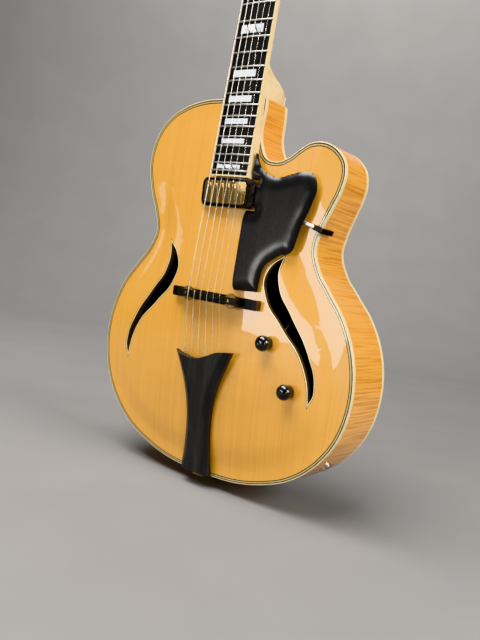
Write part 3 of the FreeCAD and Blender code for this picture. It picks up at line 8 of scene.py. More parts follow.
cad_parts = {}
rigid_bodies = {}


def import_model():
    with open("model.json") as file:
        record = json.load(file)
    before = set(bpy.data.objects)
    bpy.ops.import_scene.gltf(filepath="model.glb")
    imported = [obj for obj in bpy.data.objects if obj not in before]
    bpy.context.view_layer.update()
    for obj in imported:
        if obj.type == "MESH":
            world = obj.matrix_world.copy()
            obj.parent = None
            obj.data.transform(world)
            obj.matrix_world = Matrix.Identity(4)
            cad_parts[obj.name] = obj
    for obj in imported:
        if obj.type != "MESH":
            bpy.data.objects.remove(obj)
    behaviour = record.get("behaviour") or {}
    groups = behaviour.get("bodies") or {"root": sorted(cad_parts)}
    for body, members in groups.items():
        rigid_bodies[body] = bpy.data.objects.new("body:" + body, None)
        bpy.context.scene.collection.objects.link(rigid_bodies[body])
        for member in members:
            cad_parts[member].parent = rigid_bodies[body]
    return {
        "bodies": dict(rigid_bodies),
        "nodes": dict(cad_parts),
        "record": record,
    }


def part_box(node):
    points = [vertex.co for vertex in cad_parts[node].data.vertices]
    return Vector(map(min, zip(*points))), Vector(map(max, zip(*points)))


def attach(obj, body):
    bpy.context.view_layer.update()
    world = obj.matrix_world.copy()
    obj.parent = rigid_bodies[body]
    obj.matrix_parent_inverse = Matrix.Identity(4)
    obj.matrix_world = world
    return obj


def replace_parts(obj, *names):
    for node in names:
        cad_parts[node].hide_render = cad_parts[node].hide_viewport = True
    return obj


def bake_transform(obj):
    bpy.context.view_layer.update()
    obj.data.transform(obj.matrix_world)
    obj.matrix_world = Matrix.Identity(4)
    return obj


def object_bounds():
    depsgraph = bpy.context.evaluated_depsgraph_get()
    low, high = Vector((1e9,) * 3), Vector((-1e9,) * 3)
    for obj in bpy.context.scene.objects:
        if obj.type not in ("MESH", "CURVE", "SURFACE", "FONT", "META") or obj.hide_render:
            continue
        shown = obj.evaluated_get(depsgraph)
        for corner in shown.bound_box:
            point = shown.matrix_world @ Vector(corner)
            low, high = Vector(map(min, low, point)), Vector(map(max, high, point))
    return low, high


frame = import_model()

# A hollow-body archtop guitar: lacquered spruce top, figured maple rim and back, ebony fittings.
# The frame is in metres: X to the treble side, Y to the back, Z up to the headstock.

nodes = frame["nodes"]
kept_objects = set(nodes.values()) | set(frame["bodies"].values())
for stray in [o for o in bpy.data.objects if o not in kept_objects]:
    bpy.data.objects.remove(stray)
cad_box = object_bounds()

MM = 0.001
WHITE = (1.0, 1.0, 1.0)
bpy.context.scene.view_settings.view_transform = "Khronos PBR Neutral"

# Places taken over from the solids, in millimetres

front_edge_y = -38.25
body_length = 486.0
board_radius = 305.0
board_rise_at_saddle = 28.7
saddle_z = 240.6
neck_angle = math.radians(4.28)
scale_length = 628.65
nut_length = 5.0
nut_string_height = 1.5
nut_string_span = 36.0
head_drop = 3.0
head_angle = math.radians(14.0)
saddle_string_rise = 33.8
saddle_string_span = 54.5
anchor_string_rise = 24.0
anchor_string_span = 60.5
tail_crest = (
    (-54, 167.3), (-40, 162.2), (-24, 159.0), (-6, 159.6), (12, 166.0), (30, 173.8), (52, 177.2),
)
string_radii = (0.66, 0.53, 0.41, 0.30, 0.20, 0.15)
string_count = len(string_radii)
wound_count = 4
post_stations = ((-1, 28, 46), (-1, 27, 84), (-1, 26, 122), (1, 26, 122), (1, 27, 84), (1, 28, 46))
post_radius = 3.0
pickup_z = 371.0
cover_rise = 20.0
pole_spacing = 10.4
pole_offset = 7.5
inlay_middle_x = -2.5
split_frets = (12, 24)


def spot(x, y, z):
    """A point in millimetres of the row frame, as metres."""
    return Vector((x, y, z)) * MM


def neck_spot(x, y, s):
    """A point of the neck's frame: s along the fingerboard from the saddle, y down from its face."""
    return spot(
        x,
        front_edge_y - board_rise_at_saddle + y * math.cos(neck_angle) + s * math.sin(neck_angle),
        saddle_z - y * math.sin(neck_angle) + s * math.cos(neck_angle),
    )


def on_board(point):
    """The x, y and s of the neck's frame, in millimetres, of a point in metres of the row frame."""
    y = point.y / MM - front_edge_y + board_rise_at_saddle
    z = point.z / MM - saddle_z
    cos, sin = math.cos(neck_angle), math.sin(neck_angle)
    return point.x / MM, y * cos - z * sin, y * sin + z * cos


def head_spot(x, y, h):
    """A point of the headstock's frame: h along its face from the nut, y down from that face."""
    return neck_spot(
        x,
        head_drop + y * math.cos(head_angle) + h * math.sin(head_angle),
        scale_length + nut_length - y * math.sin(head_angle) + h * math.cos(head_angle),
    )


# Finishes: small helpers for the node trees

noise_span = (0.3, 0.7)


def start_finish(name, color, roughness, metallic=0.0, coat=0.0, coat_roughness=0.05):
    """A new material with one Principled shader, and its tree."""
    material = bpy.data.materials.new(name)
    material.use_nodes = True
    tree = material.node_tree
    tree.nodes.clear()
    shader = tree.nodes.new("ShaderNodeBsdfPrincipled")
    output = tree.nodes.new("ShaderNodeOutputMaterial")
    tree.links.new(shader.outputs["BSDF"], output.inputs["Surface"])
    shader.inputs["Base Color"].default_value = (*color, 1.0)
    shader.inputs["Roughness"].default_value = roughness
    shader.inputs["Metallic"].default_value = metallic
    shader.inputs["Coat Weight"].default_value = coat
    shader.inputs["Coat Roughness"].default_value = coat_roughness
    return material, tree, shader


def add(tree, kind, inputs=None, **settings):
    """A node with its settings, and its inputs set to values or joined to sockets."""
    made = tree.nodes.new(kind)
    for key, value in settings.items():
        setattr(made, key, value)
    for key, value in (inputs or {}).items():
        if isinstance(value, bpy.types.NodeSocket):
            tree.links.new(value, made.inputs[key])
        else:
            made.inputs[key].default_value = value
    return made


def place(tree):
    """Object coordinates, in metres of the row frame."""
    return add(tree, "ShaderNodeTexCoord").outputs["Object"]


def parts_of(tree, vector):
    """The X, Y and Z of a vector."""
    return add(tree, "ShaderNodeSeparateXYZ", {"Vector": vector}).outputs


def combined(tree, operation, a, b=0.0):
    """The result of a sum or a comparison on one or two values."""
    return add(tree, "ShaderNodeMath", {0: a, 1: b}, operation=operation).outputs[0]


def folded(tree, where):
    """Coordinates mirrored at the centre joint, as in book-matched wood."""
    parts = parts_of(tree, where)
    away = combined(tree, "ABSOLUTE", parts["X"])
    return add(tree, "ShaderNodeCombineXYZ", {"X": away, "Y": parts["Y"], "Z": parts["Z"]}).outputs[0]


def stretched(tree, where, scale, turn=(0, 0, 0)):
    """Coordinates scaled differently along the three directions, turned first."""
    turned = add(tree, "ShaderNodeMapping", {"Vector": where, "Rotation": turn})
    return add(tree, "ShaderNodeMapping", {"Vector": turned.outputs[0], "Scale": scale}).outputs[0]


def noise(tree, where, detail=2.0, roughness=0.5, distortion=0.0):
    """A cloudy pattern between 0 and 1, as fine as its coordinates are stretched."""
    made = add(tree, "ShaderNodeTexNoise", {
        "Vector": where, "Scale": 1.0, "Detail": detail, "Roughness": roughness, "Distortion": distortion,
    })
    return made.outputs["Fac"]


def graded(tree, factor, *stops):
    """A colour ramp: each stop is a place and a colour."""
    made = add(tree, "ShaderNodeValToRGB", {"Fac": factor})
    elements = made.color_ramp.elements
    elements[0].position, elements[0].color = stops[0][0], (*stops[0][1], 1.0)
    elements[1].position, elements[1].color = stops[-1][0], (*stops[-1][1], 1.0)
    for position, color in stops[1:-1]:
        elements.new(position).color = (*color, 1.0)
    return made.outputs["Color"]


def eased(tree, value, low, high, to_low=0.0, to_high=1.0):
    """A value moved from one span to another and held at its ends."""
    made = add(tree, "ShaderNodeMapRange", {
        "Value": value, "From Min": low, "From Max": high, "To Min": to_low, "To Max": to_high,
    })
    return made.outputs["Result"]


def shaded(tree, color, tint, amount, blend="MULTIPLY"):
    """One colour laid over another."""
    made = add(tree, "ShaderNodeMix", data_type="RGBA", blend_type=blend)
    for socket, value in ((made.inputs[0], amount), (made.inputs[6], color), (made.inputs[7], tint)):
        if isinstance(value, bpy.types.NodeSocket):
            tree.links.new(value, socket)
        else:
            socket.default_value = value if isinstance(value, float) else (*value, 1.0)
    return made.outputs[2]


def mottled(tree, color, pattern, low, high, tint, amount):
    """A colour darkened by a tint where a pattern is low."""
    return shaded(tree, color, graded(tree, pattern, (low, tint), (high, WHITE)), amount)


def relief(tree, shader, height, strength, distance):
    """A fine unevenness of the surface."""
    bump = add(tree, "ShaderNodeBump", {"Height": height, "Strength": strength, "Distance": distance})
    tree.links.new(bump.outputs["Normal"], shader.inputs["Normal"])


def dress(tree, shader, color, pattern, span, roughness):
    """Joins a colour to the shader, and a roughness that follows a pattern over a span."""
    tree.links.new(color, shader.inputs["Base Color"])
    tree.links.new(eased(tree, pattern, *span, *roughness), shader.inputs["Roughness"])


def facing_y(tree):
    """How far a face looks to the back, or to the front where it is below zero."""
    return parts_of(tree, add(tree, "ShaderNodeNewGeometry").outputs["Normal"])["Y"]


def inward_side(tree, sign):
    """1 on the faces of a plate that look into the sound chamber, where painted shade goes, 0 on the others.
    """
    return eased(tree, facing_y(tree), 0.25 * sign, 0.45 * sign)


# Wood finishes

joint_brown = (0.03, 0.02, 0.012)


def spruce_finish(name, early, late, coat, painted_inner_shade=None):
    """Straight growth rings along the body, paler silk across them, broader streaks of tone."""
    material, tree, shader = start_finish(name, early, 0.40, coat=coat, coat_roughness=0.03)
    where = folded(tree, place(tree))
    rings = noise(tree, stretched(tree, where, (900, 30, 4)), detail=3, roughness=0.6)
    streaks = noise(tree, stretched(tree, where, (70, 8, 1.0)), detail=4, roughness=0.6)
    silk = noise(tree, stretched(tree, where, (24, 10, 260)), detail=2)
    color = graded(tree, eased(tree, rings, 0.34, 0.74), (0.0, early), (0.45, early), (1.0, late))
    color = mottled(tree, color, streaks, 0.30, 0.68, (0.92, 0.88, 0.80), 0.7)
    color = mottled(tree, color, silk, 0.35, 0.65, (0.96, 0.94, 0.91), 0.5)
    # Painted shade: the faces that look into the sound chamber take a dark colour in place of the wood's.
    if painted_inner_shade:
        color = shaded(tree, color, painted_inner_shade, inward_side(tree, 1.0), "MIX")
    dress(tree, shader, color, rings, (0.2, 0.8), (0.42, 0.30))
    relief(tree, shader, rings, strength=0.06, distance=0.0004)
    return material


def maple_finish(
    name, pale, flame, stripe_scale, grain_scale, depth, coat=1.0, fold=False, turn=(0, 0, 0), painted_inner_shade=None,
    sway=0.012,
):
    """Flamed maple: soft stripes across the grain that sway a little, with fine short fibres along it."""
    material, tree, shader = start_finish(name, pale, 0.36, coat=coat, coat_roughness=0.08)
    where = place(tree)
    if fold:
        where = folded(tree, where)
    warp = noise(tree, stretched(tree, where, (14, 14, 14)), detail=1)
    push = add(tree, "ShaderNodeCombineXYZ", {"X": warp, "Y": warp, "Z": warp}).outputs[0]
    push = add(tree, "ShaderNodeVectorMath", {0: push, "Scale": sway}, operation="SCALE").outputs[0]
    bent = add(tree, "ShaderNodeVectorMath", {0: where, 1: push}, operation="ADD").outputs[0]
    stripes = noise(tree, stretched(tree, bent, stripe_scale, turn), detail=2, roughness=0.45)
    fibres = noise(tree, stretched(tree, where, grain_scale, turn), detail=3, roughness=0.6)
    brightest = tuple(min(1.0, c * 1.16) for c in pale)
    color = graded(tree, stripes, (0.36, flame), (0.50, pale), (0.66, brightest))
    color = mottled(tree, color, fibres, 0.35, 0.62, (0.86, 0.80, 0.72), depth)
    # Painted shade: the faces that look into the sound chamber take a dark colour in place of the wood's.
    if painted_inner_shade:
        color = shaded(tree, color, painted_inner_shade, inward_side(tree, -1.0), "MIX")
    dress(tree, shader, color, stripes, (0.25, 0.75), (0.46, 0.28))
    relief(tree, shader, fibres, strength=0.05, distance=0.0004)
    return material


def draw_joint_line(material, low, high, front):
    """A thin dark line between two heights where the heel meets the rim, behind the rim's front."""
    tree = material.node_tree
    shader = next(node for node in tree.nodes if node.type == "BSDF_PRINCIPLED")
    parts = parts_of(tree, place(tree))
    above = combined(tree, "GREATER_THAN", parts["Z"], low)
    below = combined(tree, "LESS_THAN", parts["Z"], high)
    behind = combined(tree, "GREATER_THAN", parts["Y"], front)
    band = combined(tree, "MULTIPLY", combined(tree, "MULTIPLY", above, below), behind)
    wood = shader.inputs["Base Color"].links[0].from_socket
    lined = shaded(tree, wood, joint_brown, band, "MIX")
    tree.links.new(lined, shader.inputs["Base Color"])


def ebony_finish(
    name, along=(260, 260, 9), roughness=0.34, coat=0.0, tone=(0.022, 0.0232, 0.0248), sheen=0.35,
    streaks=1.0,
):
    """Near-black wood with faint brown streaks and open pores along the grain."""
    material, tree, shader = start_finish(name, tone, roughness, coat=coat, coat_roughness=0.10)
    shader.inputs["Specular IOR Level"].default_value = sheen
    where = place(tree)
    streak = noise(tree, stretched(tree, where, tuple(a * 0.28 for a in along)), detail=3, roughness=0.6)
    pores = noise(tree, stretched(tree, where, tuple(a * 5 for a in along)), detail=2, roughness=0.7)
    lighter = (tone[0] * 2.3, tone[1] * 2.1, tone[2] * 1.9)
    brightest = tuple(a + (b - a) * streaks for a, b in zip(tone, lighter))
    color = graded(tree, streak, (0.42, tone), (0.75, brightest))
    dress(tree, shader, color, pores, noise_span, (roughness * 1.2, roughness * 0.85))
    relief(tree, shader, pores, strength=0.10 * streaks, distance=0.0003)
    return material


# Plastic, shell, bone and metal finishes

celluloid_grain = (420, 420, 60)
unscaled_wave = 0.314


def ivoroid_finish(name, tone, aged):
    """Cream binding with the faint streaks of grained celluloid."""
    material, tree, shader = start_finish(name, tone, 0.30, coat=0.8, coat_roughness=0.06)
    where = place(tree)
    grain = noise(tree, stretched(tree, where, celluloid_grain), detail=3, roughness=0.55)
    patches = noise(tree, stretched(tree, where, (9, 9, 9)), detail=2)
    color = graded(tree, grain, (0.30, aged), (0.62, tone))
    color = mottled(tree, color, patches, 0.35, 0.7, (0.93, 0.90, 0.84), 0.7)
    dress(tree, shader, color, grain, noise_span, (0.36, 0.26))
    return material


def hole_edge_finish(name, tone, wall):
    """Cream where the edge faces the front, and a dark brown where it turns into the sound chamber: painted
    shade.
    """
    material, tree, shader = start_finish(name, tone, 0.32, coat=0.7, coat_roughness=0.08)
    grain = noise(tree, stretched(tree, place(tree), celluloid_grain), detail=3, roughness=0.55)
    cream = graded(tree, grain, (0.30, tuple(c * 0.86 for c in tone)), (0.65, tone))
    # The wall colour is painted shade on the faces that turn inwards.
    inside = eased(tree, facing_y(tree), -0.55, -0.25)
    color = shaded(tree, cream, wall, inside, "MIX")
    dress(tree, shader, color, grain, noise_span, (0.38, 0.28))
    return material


def fibre_finish(name, tone):
    """Black vulcanised fibre, or wax, with a fine mottle."""
    material, tree, shader = start_finish(name, tone, 0.4, coat=0.8, coat_roughness=0.06)
    grain = noise(tree, stretched(tree, place(tree), (900, 900, 200)), detail=2)
    color = graded(tree, grain, (0.3, tone), (0.7, tuple(c * 1.9 for c in tone)))
    dress(tree, shader, color, grain, noise_span, (0.46, 0.34))
    return material


def pearl_finish(name):
    """Mother of pearl: wavy layers of white with pale green, rose and blue."""
    material, tree, shader = start_finish(name, (0.68, 0.70, 0.74), 0.18, coat=0.6, coat_roughness=0.08)
    shader.inputs["Specular IOR Level"].default_value = 0.7
    where = stretched(tree, place(tree), (70, 40, 160))
    layers = noise(tree, where, detail=4, roughness=0.6, distortion=1.6)
    color = graded(
        tree, layers, (0.30, (0.36, 0.40, 0.43)), (0.42, (0.62, 0.67, 0.69)), (0.50, (0.73, 0.72, 0.76)),
        (0.58, (0.62, 0.70, 0.78)), (0.70, (0.78, 0.79, 0.84)),
    )
    dress(tree, shader, color, layers, noise_span, (0.30, 0.14))
    return material


def bone_finish(name):
    """Polished bone with short fibres."""
    material, tree, shader = start_finish(name, (0.74, 0.69, 0.55), 0.35, coat=0.3, coat_roughness=0.15)
    fibres = noise(tree, stretched(tree, place(tree), (160, 700, 700)), detail=3)
    color = graded(tree, fibres, (0.35, (0.66, 0.59, 0.44)), (0.65, (0.80, 0.75, 0.62)))
    dress(tree, shader, color, fibres, noise_span, (0.42, 0.30))
    return material


def metal_finish(name, tone, roughness, scratch_scale=(900, 900, 90), wear=0.72, scratches=0.05):
    """Plated or polished metal with fine polishing lines and a duller bloom in patches."""
    material, tree, shader = start_finish(name, tone, roughness, metallic=1.0)
    where = place(tree)
    lines = noise(tree, stretched(tree, where, scratch_scale), detail=3, roughness=0.65)
    bloom = noise(tree, stretched(tree, where, (130, 130, 130)), detail=3)
    color = graded(tree, bloom, (0.34, tuple(c * wear for c in tone)), (0.60, tone))
    mixed = combined(tree, "MULTIPLY", lines, bloom)
    dress(tree, shader, color, mixed, (0.12, 0.42), (roughness * 1.5, roughness * 0.7))
    relief(tree, shader, lines, strength=scratches, distance=0.0002)
    return material


def winding_finish(name, tone, pitch):
    """Round-wound string: tight rings along its length."""
    material, tree, shader = start_finish(name, tone, 0.26, metallic=1.0)
    rings = add(tree, "ShaderNodeTexWave", {
        "Vector": place(tree), "Scale": unscaled_wave / (pitch * MM), "Distortion": 0.4, "Detail": 0.0,
    }, wave_type="BANDS", bands_direction="Z", wave_profile="SIN").outputs["Fac"]
    # The colour is darker between the turns: painted shade in the grooves of the winding.
    color = graded(tree, rings, (0.0, tuple(c * 0.45 for c in tone)), (0.6, tone))
    dress(tree, shader, color, rings, (0.0, 1.0), (0.42, 0.22))
    relief(tree, shader, rings, strength=0.5, distance=0.0002)
    return material


# The finishes of this guitar

# Painted shade for the insides of the top and back, where the closed sound chamber is dark.
shadow_brown = (0.020, 0.010, 0.005)
joint_line_low = body_length - 0.1
joint_line_high = body_length + 0.7

honey_spruce = spruce_finish(
    "honey_spruce", (0.77, 0.400, 0.076), (0.66, 0.310, 0.050), 1.0, painted_inner_shade=shadow_brown
)
# Painted shade: the raw spruce inside the sound chamber is near-black for the dark of the chamber, not the
# pale tone of bare wood.
raw_spruce = spruce_finish("raw_spruce", (0.060, 0.036, 0.018), (0.040, 0.022, 0.010), 0.0)
rim_maple = maple_finish(
    "rim_maple", (0.76, 0.365, 0.072), (0.60, 0.255, 0.042), (400, 10, 400), (30, 600, 30), 0.35, sway=0.005
)
back_maple = maple_finish(
    "back_maple", (0.76, 0.36, 0.068), (0.54, 0.215, 0.032), (12, 12, 170), (700, 200, 22), 0.4,
    fold=True, turn=(0, math.radians(-9), 0), painted_inner_shade=shadow_brown,
)
neck_maple = maple_finish(
    "neck_maple", (0.80, 0.63, 0.38), (0.74, 0.54, 0.28), (14, 14, 90), (700, 700, 24), 0.45
)
draw_joint_line(neck_maple, joint_line_low * MM, joint_line_high * MM, front_edge_y * MM)
# Painted shade: the raw maple inside the sound chamber is near-black for the dark of the chamber, not the
# pale tone of bare wood.
raw_maple = maple_finish(
    "raw_maple", (0.070, 0.045, 0.024), (0.050, 0.030, 0.015), (20, 20, 90), (700, 700, 24), 0.5, coat=0.0
)
ebony = ebony_finish("ebony")
satin_ebony = ebony_finish(
    "satin_ebony", roughness=0.24, tone=(0.014, 0.0145, 0.0155), sheen=0.5, streaks=0.3
)
polished_ebony = ebony_finish("polished_ebony", roughness=0.16, coat=0.7, tone=(0.008, 0.0083, 0.0088))
saddle_ebony = ebony_finish(
    "saddle_ebony", along=(9, 260, 260), roughness=0.24, tone=(0.010, 0.0085, 0.0075)
)
board_ebony = ebony_finish("board_ebony", roughness=0.40, sheen=0.25, tone=(0.010, 0.0102, 0.0108))
cream_binding = ivoroid_finish("cream_binding", (0.80, 0.68, 0.42), (0.70, 0.56, 0.31))
# The second, dark colour is painted shade on the inner walls of the cream edges.
hole_edge = hole_edge_finish("hole_edge", (0.80, 0.66, 0.40), (0.10, 0.055, 0.022))
# Painted shade: the cream purfling is given a darker, greener copy of the cream, the tone it shows in shade.
painted_shade_cream_line = ivoroid_finish("painted_shade_cream_line", (0.56, 0.44, 0.18), (0.44, 0.33, 0.12))
black_fibre = fibre_finish("black_fibre", (0.006, 0.005, 0.0045))
coil_wax = fibre_finish("coil_wax", (0.030, 0.026, 0.022))
pearl = pearl_finish("pearl")
bone = bone_finish("bone")
gold_plate = metal_finish("gold_plate", (0.90, 0.62, 0.25), 0.20)
mirror_gold = metal_finish(
    "mirror_gold", (0.94, 0.68, 0.32), 0.05, scratch_scale=(60, 60, 1400), wear=0.92, scratches=0.01
)
# A dark copy of the gold: painted shade for the thumbwheels under the saddle.
painted_shade_gold = metal_finish("painted_shade_gold", (0.30, 0.19, 0.075), 0.28)
steel = metal_finish("steel", (0.60, 0.60, 0.61), 0.30)
fret_wire = metal_finish("fret_wire", (0.52, 0.51, 0.49), 0.26, scratch_scale=(90, 900, 900))
bright_rod = metal_finish("bright_rod", (0.93, 0.92, 0.90), 0.42, wear=0.94)
black_steel = metal_finish("black_steel", (0.035, 0.032, 0.030), 0.30)
jack_nickel = metal_finish("jack_nickel", (0.78, 0.75, 0.70), 0.20)
wound_wire = winding_finish("wound_wire", (0.82, 0.77, 0.69), 0.35)
plain_wire = metal_finish("plain_wire", (0.87, 0.85, 0.82), 0.22)

slot_finish = {
    "spruce": honey_spruce, "flamed_maple": rim_maple, "neck_maple": neck_maple, "raw_spruce": raw_spruce,
    "raw_maple": raw_maple, "ebony": ebony, "cream_binding": cream_binding, "black_fibre": black_fibre,
    "pearl": pearl, "bone": bone, "gold_plate": gold_plate, "steel": steel, "fret_wire": fret_wire,
    "bright_rod": bright_rod, "black_steel": black_steel, "jack_nickel": jack_nickel,
    "wound_string": wound_wire, "plain_string": plain_wire, "coil_wax": coil_wax,
}
node_finish = {
    "back_plate": back_maple, "fingerboard": board_ebony, "head_veneer": polished_ebony,
    "cream_purfling": painted_shade_cream_line, "knob_volume": polished_ebony, "knob_tone": polished_ebony,
    # The control harness inside the chamber takes the near-black wax finish: painted shade of the chamber
    # around it.
    "end_pin": polished_ebony, "control_harness": coil_wax,
}

for name, solid in nodes.items():
    slot_name = solid.data.materials[0].name
    solid.material_slots[0].material = node_finish.get(name, slot_finish[slot_name])


# Pieces

merge_distance = 0.002
flat_angle = 0.5
sharp_angle = 28
front_limit = 0.35

body_of = {node: body for body, names in frame["record"]["behaviour"]["bodies"].items() for node in names}


def add_piece(name, bm, finish, body, stands_for=(), smooth_below=38):
    """A finished mesh as a piece that rides on a body and takes the place of solids."""
    mesh = bpy.data.meshes.new(name)
    bm.to_mesh(mesh)
    bm.free()
    mesh.polygons.foreach_set("use_smooth", [True] * len(mesh.polygons))
    mesh.set_sharp_from_angle(angle=math.radians(smooth_below))
    mesh.materials.append(finish)
    piece = bpy.data.objects.new(name, mesh)
    bpy.context.scene.collection.objects.link(piece)
    if body:
        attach(piece, body)
    if stands_for:
        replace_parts(piece, *stands_for)
    return piece


def solid_copy(node):
    """A merged copy of a solid with its flat faces joined up."""
    bm = bmesh.new()
    bm.from_mesh(nodes[node].data)
    bmesh.ops.remove_doubles(bm, verts=bm.verts, dist=merge_distance * MM)
    bmesh.ops.dissolve_limit(bm, angle_limit=math.radians(flat_angle), verts=bm.verts, edges=bm.edges)
    bm.normal_update()
    return bm


def soften(bm, width, segments=2, only=None):
    """Rounds over the outward edges, or those of them that a test picks."""
    sharp = []
    for edge in bm.edges:
        outward = len(edge.link_faces) == 2 and edge.is_convex
        if outward and edge.calc_face_angle() > math.radians(sharp_angle) and (only is None or only(edge)):
            sharp.append(edge)
    bmesh.ops.bevel(
        bm, geom=sharp, offset=width * MM, offset_type="OFFSET", segments=segments, profile=0.5,
        affect="EDGES", clamp_overlap=True, material=-1,
    )


def softened(node, width, finish, segments=2, only=None):
    """A solid with rounded edges in the place of the sharp one; its large faces carry the shading."""
    bm = solid_copy(node)
    soften(bm, width, segments, only=only)
    piece = add_piece(node + "_finished", bm, finish, body_of[node], (node,))
    piece.modifiers.new("even_shading", "WEIGHTED_NORMAL").keep_sharp = True


def faces_front(edge):
    """Whether an edge lies between faces that can be seen from the front."""
    return all(face.normal.y < front_limit for face in edge.link_faces)


softened("bridge_base", 1.6, polished_ebony, segments=3, only=faces_front)
softened("bridge_saddle", 0.5, saddle_ebony, only=faces_front)
softened("tailpiece", 0.8, ebony, only=faces_front)
softened("pickup_ring", 1.4, polished_ebony, segments=3, only=faces_front)
softened("pickup_cover", 1.1, mirror_gold, segments=4, only=faces_front)
softened("guard_clamp", 0.5, black_steel)
softened("top_binding", 0.9, cream_binding, segments=3)
softened("back_binding", 0.5, cream_binding)
softened("sound_hole_bindings", 0.4, hole_edge, only=faces_front)
softened("nut", 0.35, bone, only=faces_front)
softened("heel_cap", 0.6, cream_binding)
softened("truss_rod_cover", 0.4, polished_ebony)
softened("tuner_housings", 0.7, gold_plate)


# Pearl blocks of the fingerboard: the two split ones have wide slanted cuts

inlay_floor = 1.2
inlay_proud = 0.03
slit_growth = 1.5


def board_crown(x):
    """How far the board's face falls away from its middle line."""
    return board_radius - math.sqrt(board_radius ** 2 - x ** 2)


def island(vert):
    """All the vertices that edges join to one."""
    found, waiting = {vert}, [vert]
    while waiting:
        for edge in waiting.pop().link_edges:
            for other in edge.verts:
                if other not in found:
                    found.add(other)
                    waiting.append(other)
    return found


def move_on_board(vert, x):
    """Moves a vertex across the board, along the curve of its face."""
    old_x, y, s = on_board(vert.co)
    if y < inlay_floor:
        y += board_crown(x) - board_crown(old_x)
    vert.co = neck_spot(x, y, s)


def separate_slivers(block):
    """The loose parts of a split block, each sorted from the bass to the treble side, and so are they."""
    slivers = []
    while block:
        sliver = island(block[0])
        block = [vert for vert in block if vert not in sliver]
        slivers.append(sorted(sliver, key=lambda vert: vert.co.x))
    return sorted(slivers, key=lambda sliver: sliver[0].co.x)


def lean_the_cuts(bm, fret):
    """Turns the slanted cuts of a split block over and widens them."""
    low, high = (scale_length / 2 ** (number / 12) for number in (fret, fret - 1))
    block = [vert for vert in bm.verts if low < on_board(vert.co)[2] < high]
    faces = list({face for vert in block for face in vert.link_faces})
    for vert in block:
        move_on_board(vert, 2 * inlay_middle_x - on_board(vert.co)[0])
    bmesh.ops.reverse_faces(bm, faces=faces)
    slivers = separate_slivers(block)
    for number, sliver in enumerate(slivers):
        left, right = sliver[0].co.x / MM, sliver[-1].co.x / MM
        new_left = left + (slit_growth / 2 if number > 0 else 0.0)
        new_right = right - (slit_growth / 2 if number < len(slivers) - 1 else 0.0)
        for vert in sliver:
            share = (vert.co.x / MM - left) / (right - left)
            move_on_board(vert, new_left + share * (new_right - new_left))


def pearl_blocks():
    """All the blocks, a hair proud of the board."""
    bm = solid_copy("inlays")
    for fret in split_frets:
        lean_the_cuts(bm, fret)
    for vert in bm.verts:
        x, y, s = on_board(vert.co)
        vert.co = neck_spot(x, y - inlay_proud, s)
    bm.normal_update()
    add_piece("pearl_blocks", bm, pearl, body_of["inlays"], ("inlays",))


pearl_blocks()


# Fixing screws: gold on the headstock, black on the body

head_from_z = 0.6
screw_edge = 0.2


def screws_between(name, low, high, finish):
    """The fixing screws between two heights, as one piece."""
    bm = solid_copy("wood_screws")
    outside = [vert for vert in bm.verts if not low < vert.co.z < high]
    bmesh.ops.delete(bm, geom=outside, context="VERTS")
    soften(bm, screw_edge)
    return add_piece(name, bm, finish, "guitar")


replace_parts(screws_between("head_screws", head_from_z, math.inf, gold_plate), "wood_screws")
screws_between("body_screws", -math.inf, head_from_z, black_steel)

# Thumbwheels under the saddle, in a dark copy of the gold: painted shade from the saddle over them

softened("thumbwheel_bass", 0.25, painted_shade_gold)
softened("thumbwheel_treble", 0.25, painted_shade_gold)


# Pickguard: its free edges are carved to a soft shoulder, the edge along the strings stays square

guard_roll_width = 20.0
guard_roll_depth = 4.0
guard_roll_power = 2.7
guard_grid = 2.0
guard_string_side_x = 46.0
same_plane = 0.01
cut_tolerance = 1e-7


def everything(bm):
    """All that a cut may go through."""
    return bm.verts[:] + bm.edges[:] + bm.faces[:]


def slice_grid(bm, low, high, step):
    """Cuts a mesh along X and Z into squares."""
    for axis, start, end in ((0, low.x, high.x), (2, low.z, high.z)):
        normal = Vector((0, 0, 0))
        normal[axis] = 1.0
        for k in range(1, int((end - start) / (step * MM)) + 1):
            at = Vector((0, 0, 0))
            at[axis] = start + k * step * MM
            bmesh.ops.bisect_plane(bm, geom=everything(bm), dist=cut_tolerance, plane_co=at, plane_no=normal)


def distance_to_run(point, a, b):
    """Distance in the guard's plan from a point to a straight run of its outline."""
    run = b - a
    share = max(0.0, min(1.0, (point - a).dot(run) / run.length_squared))
    return (point - a - run * share).length


def free_runs(front):
    """The straight runs of the guard's outline that don't lie along the strings."""
    runs = []
    for edge in front.edges:
        a, b = (vert.co.xz for vert in edge.verts)
        along_strings = max(a.x, b.x) < guard_string_side_x * MM and abs(a.y - b.y) > abs(a.x - b.x)
        if not along_strings:
            runs.append((a.copy(), b.copy()))
    return runs


def carved_guard():
    """The guard with its front face sunk towards its free edges."""
    bm = solid_copy("pickguard")
    front = max(bm.faces, key=lambda face: -face.normal.y * face.calc_area())
    normal = front.normal.copy()
    base = front.verts[0].co.copy()
    runs = free_runs(front)
    low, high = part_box("pickguard")
    slice_grid(bm, Vector(low), Vector(high), guard_grid)
    for vert in bm.verts:
        if abs((vert.co - base).dot(normal)) < same_plane * MM:
            near = min(distance_to_run(vert.co.xz, a, b) for a, b in runs)
            inside = 1.0 - min(1.0, near / (guard_roll_width * MM))
            vert.co -= normal * guard_roll_depth * MM * inside ** guard_roll_power
    bm.normal_update()
    add_piece("pickguard_carved", bm, satin_ebony, "guitar", ("pickguard",), smooth_below=48)


carved_guard()


# Pole screws of the pickup

pole_radius = 2.5
pole_rise = 0.9
pole_slot = 0.7
pole_slot_depth = 0.6
pole_sink = 0.2
pole_rim_share = 0.55
pole_sides = 28
pole_turn = 0.35
pole_turn_step = 5.0
top_share = 0.9
upward = 0.25


def new_verts(made):
    """The vertices among the things that an operator made."""
    return [thing for thing in made["geom"] if isinstance(thing, bmesh.types.BMVert)]


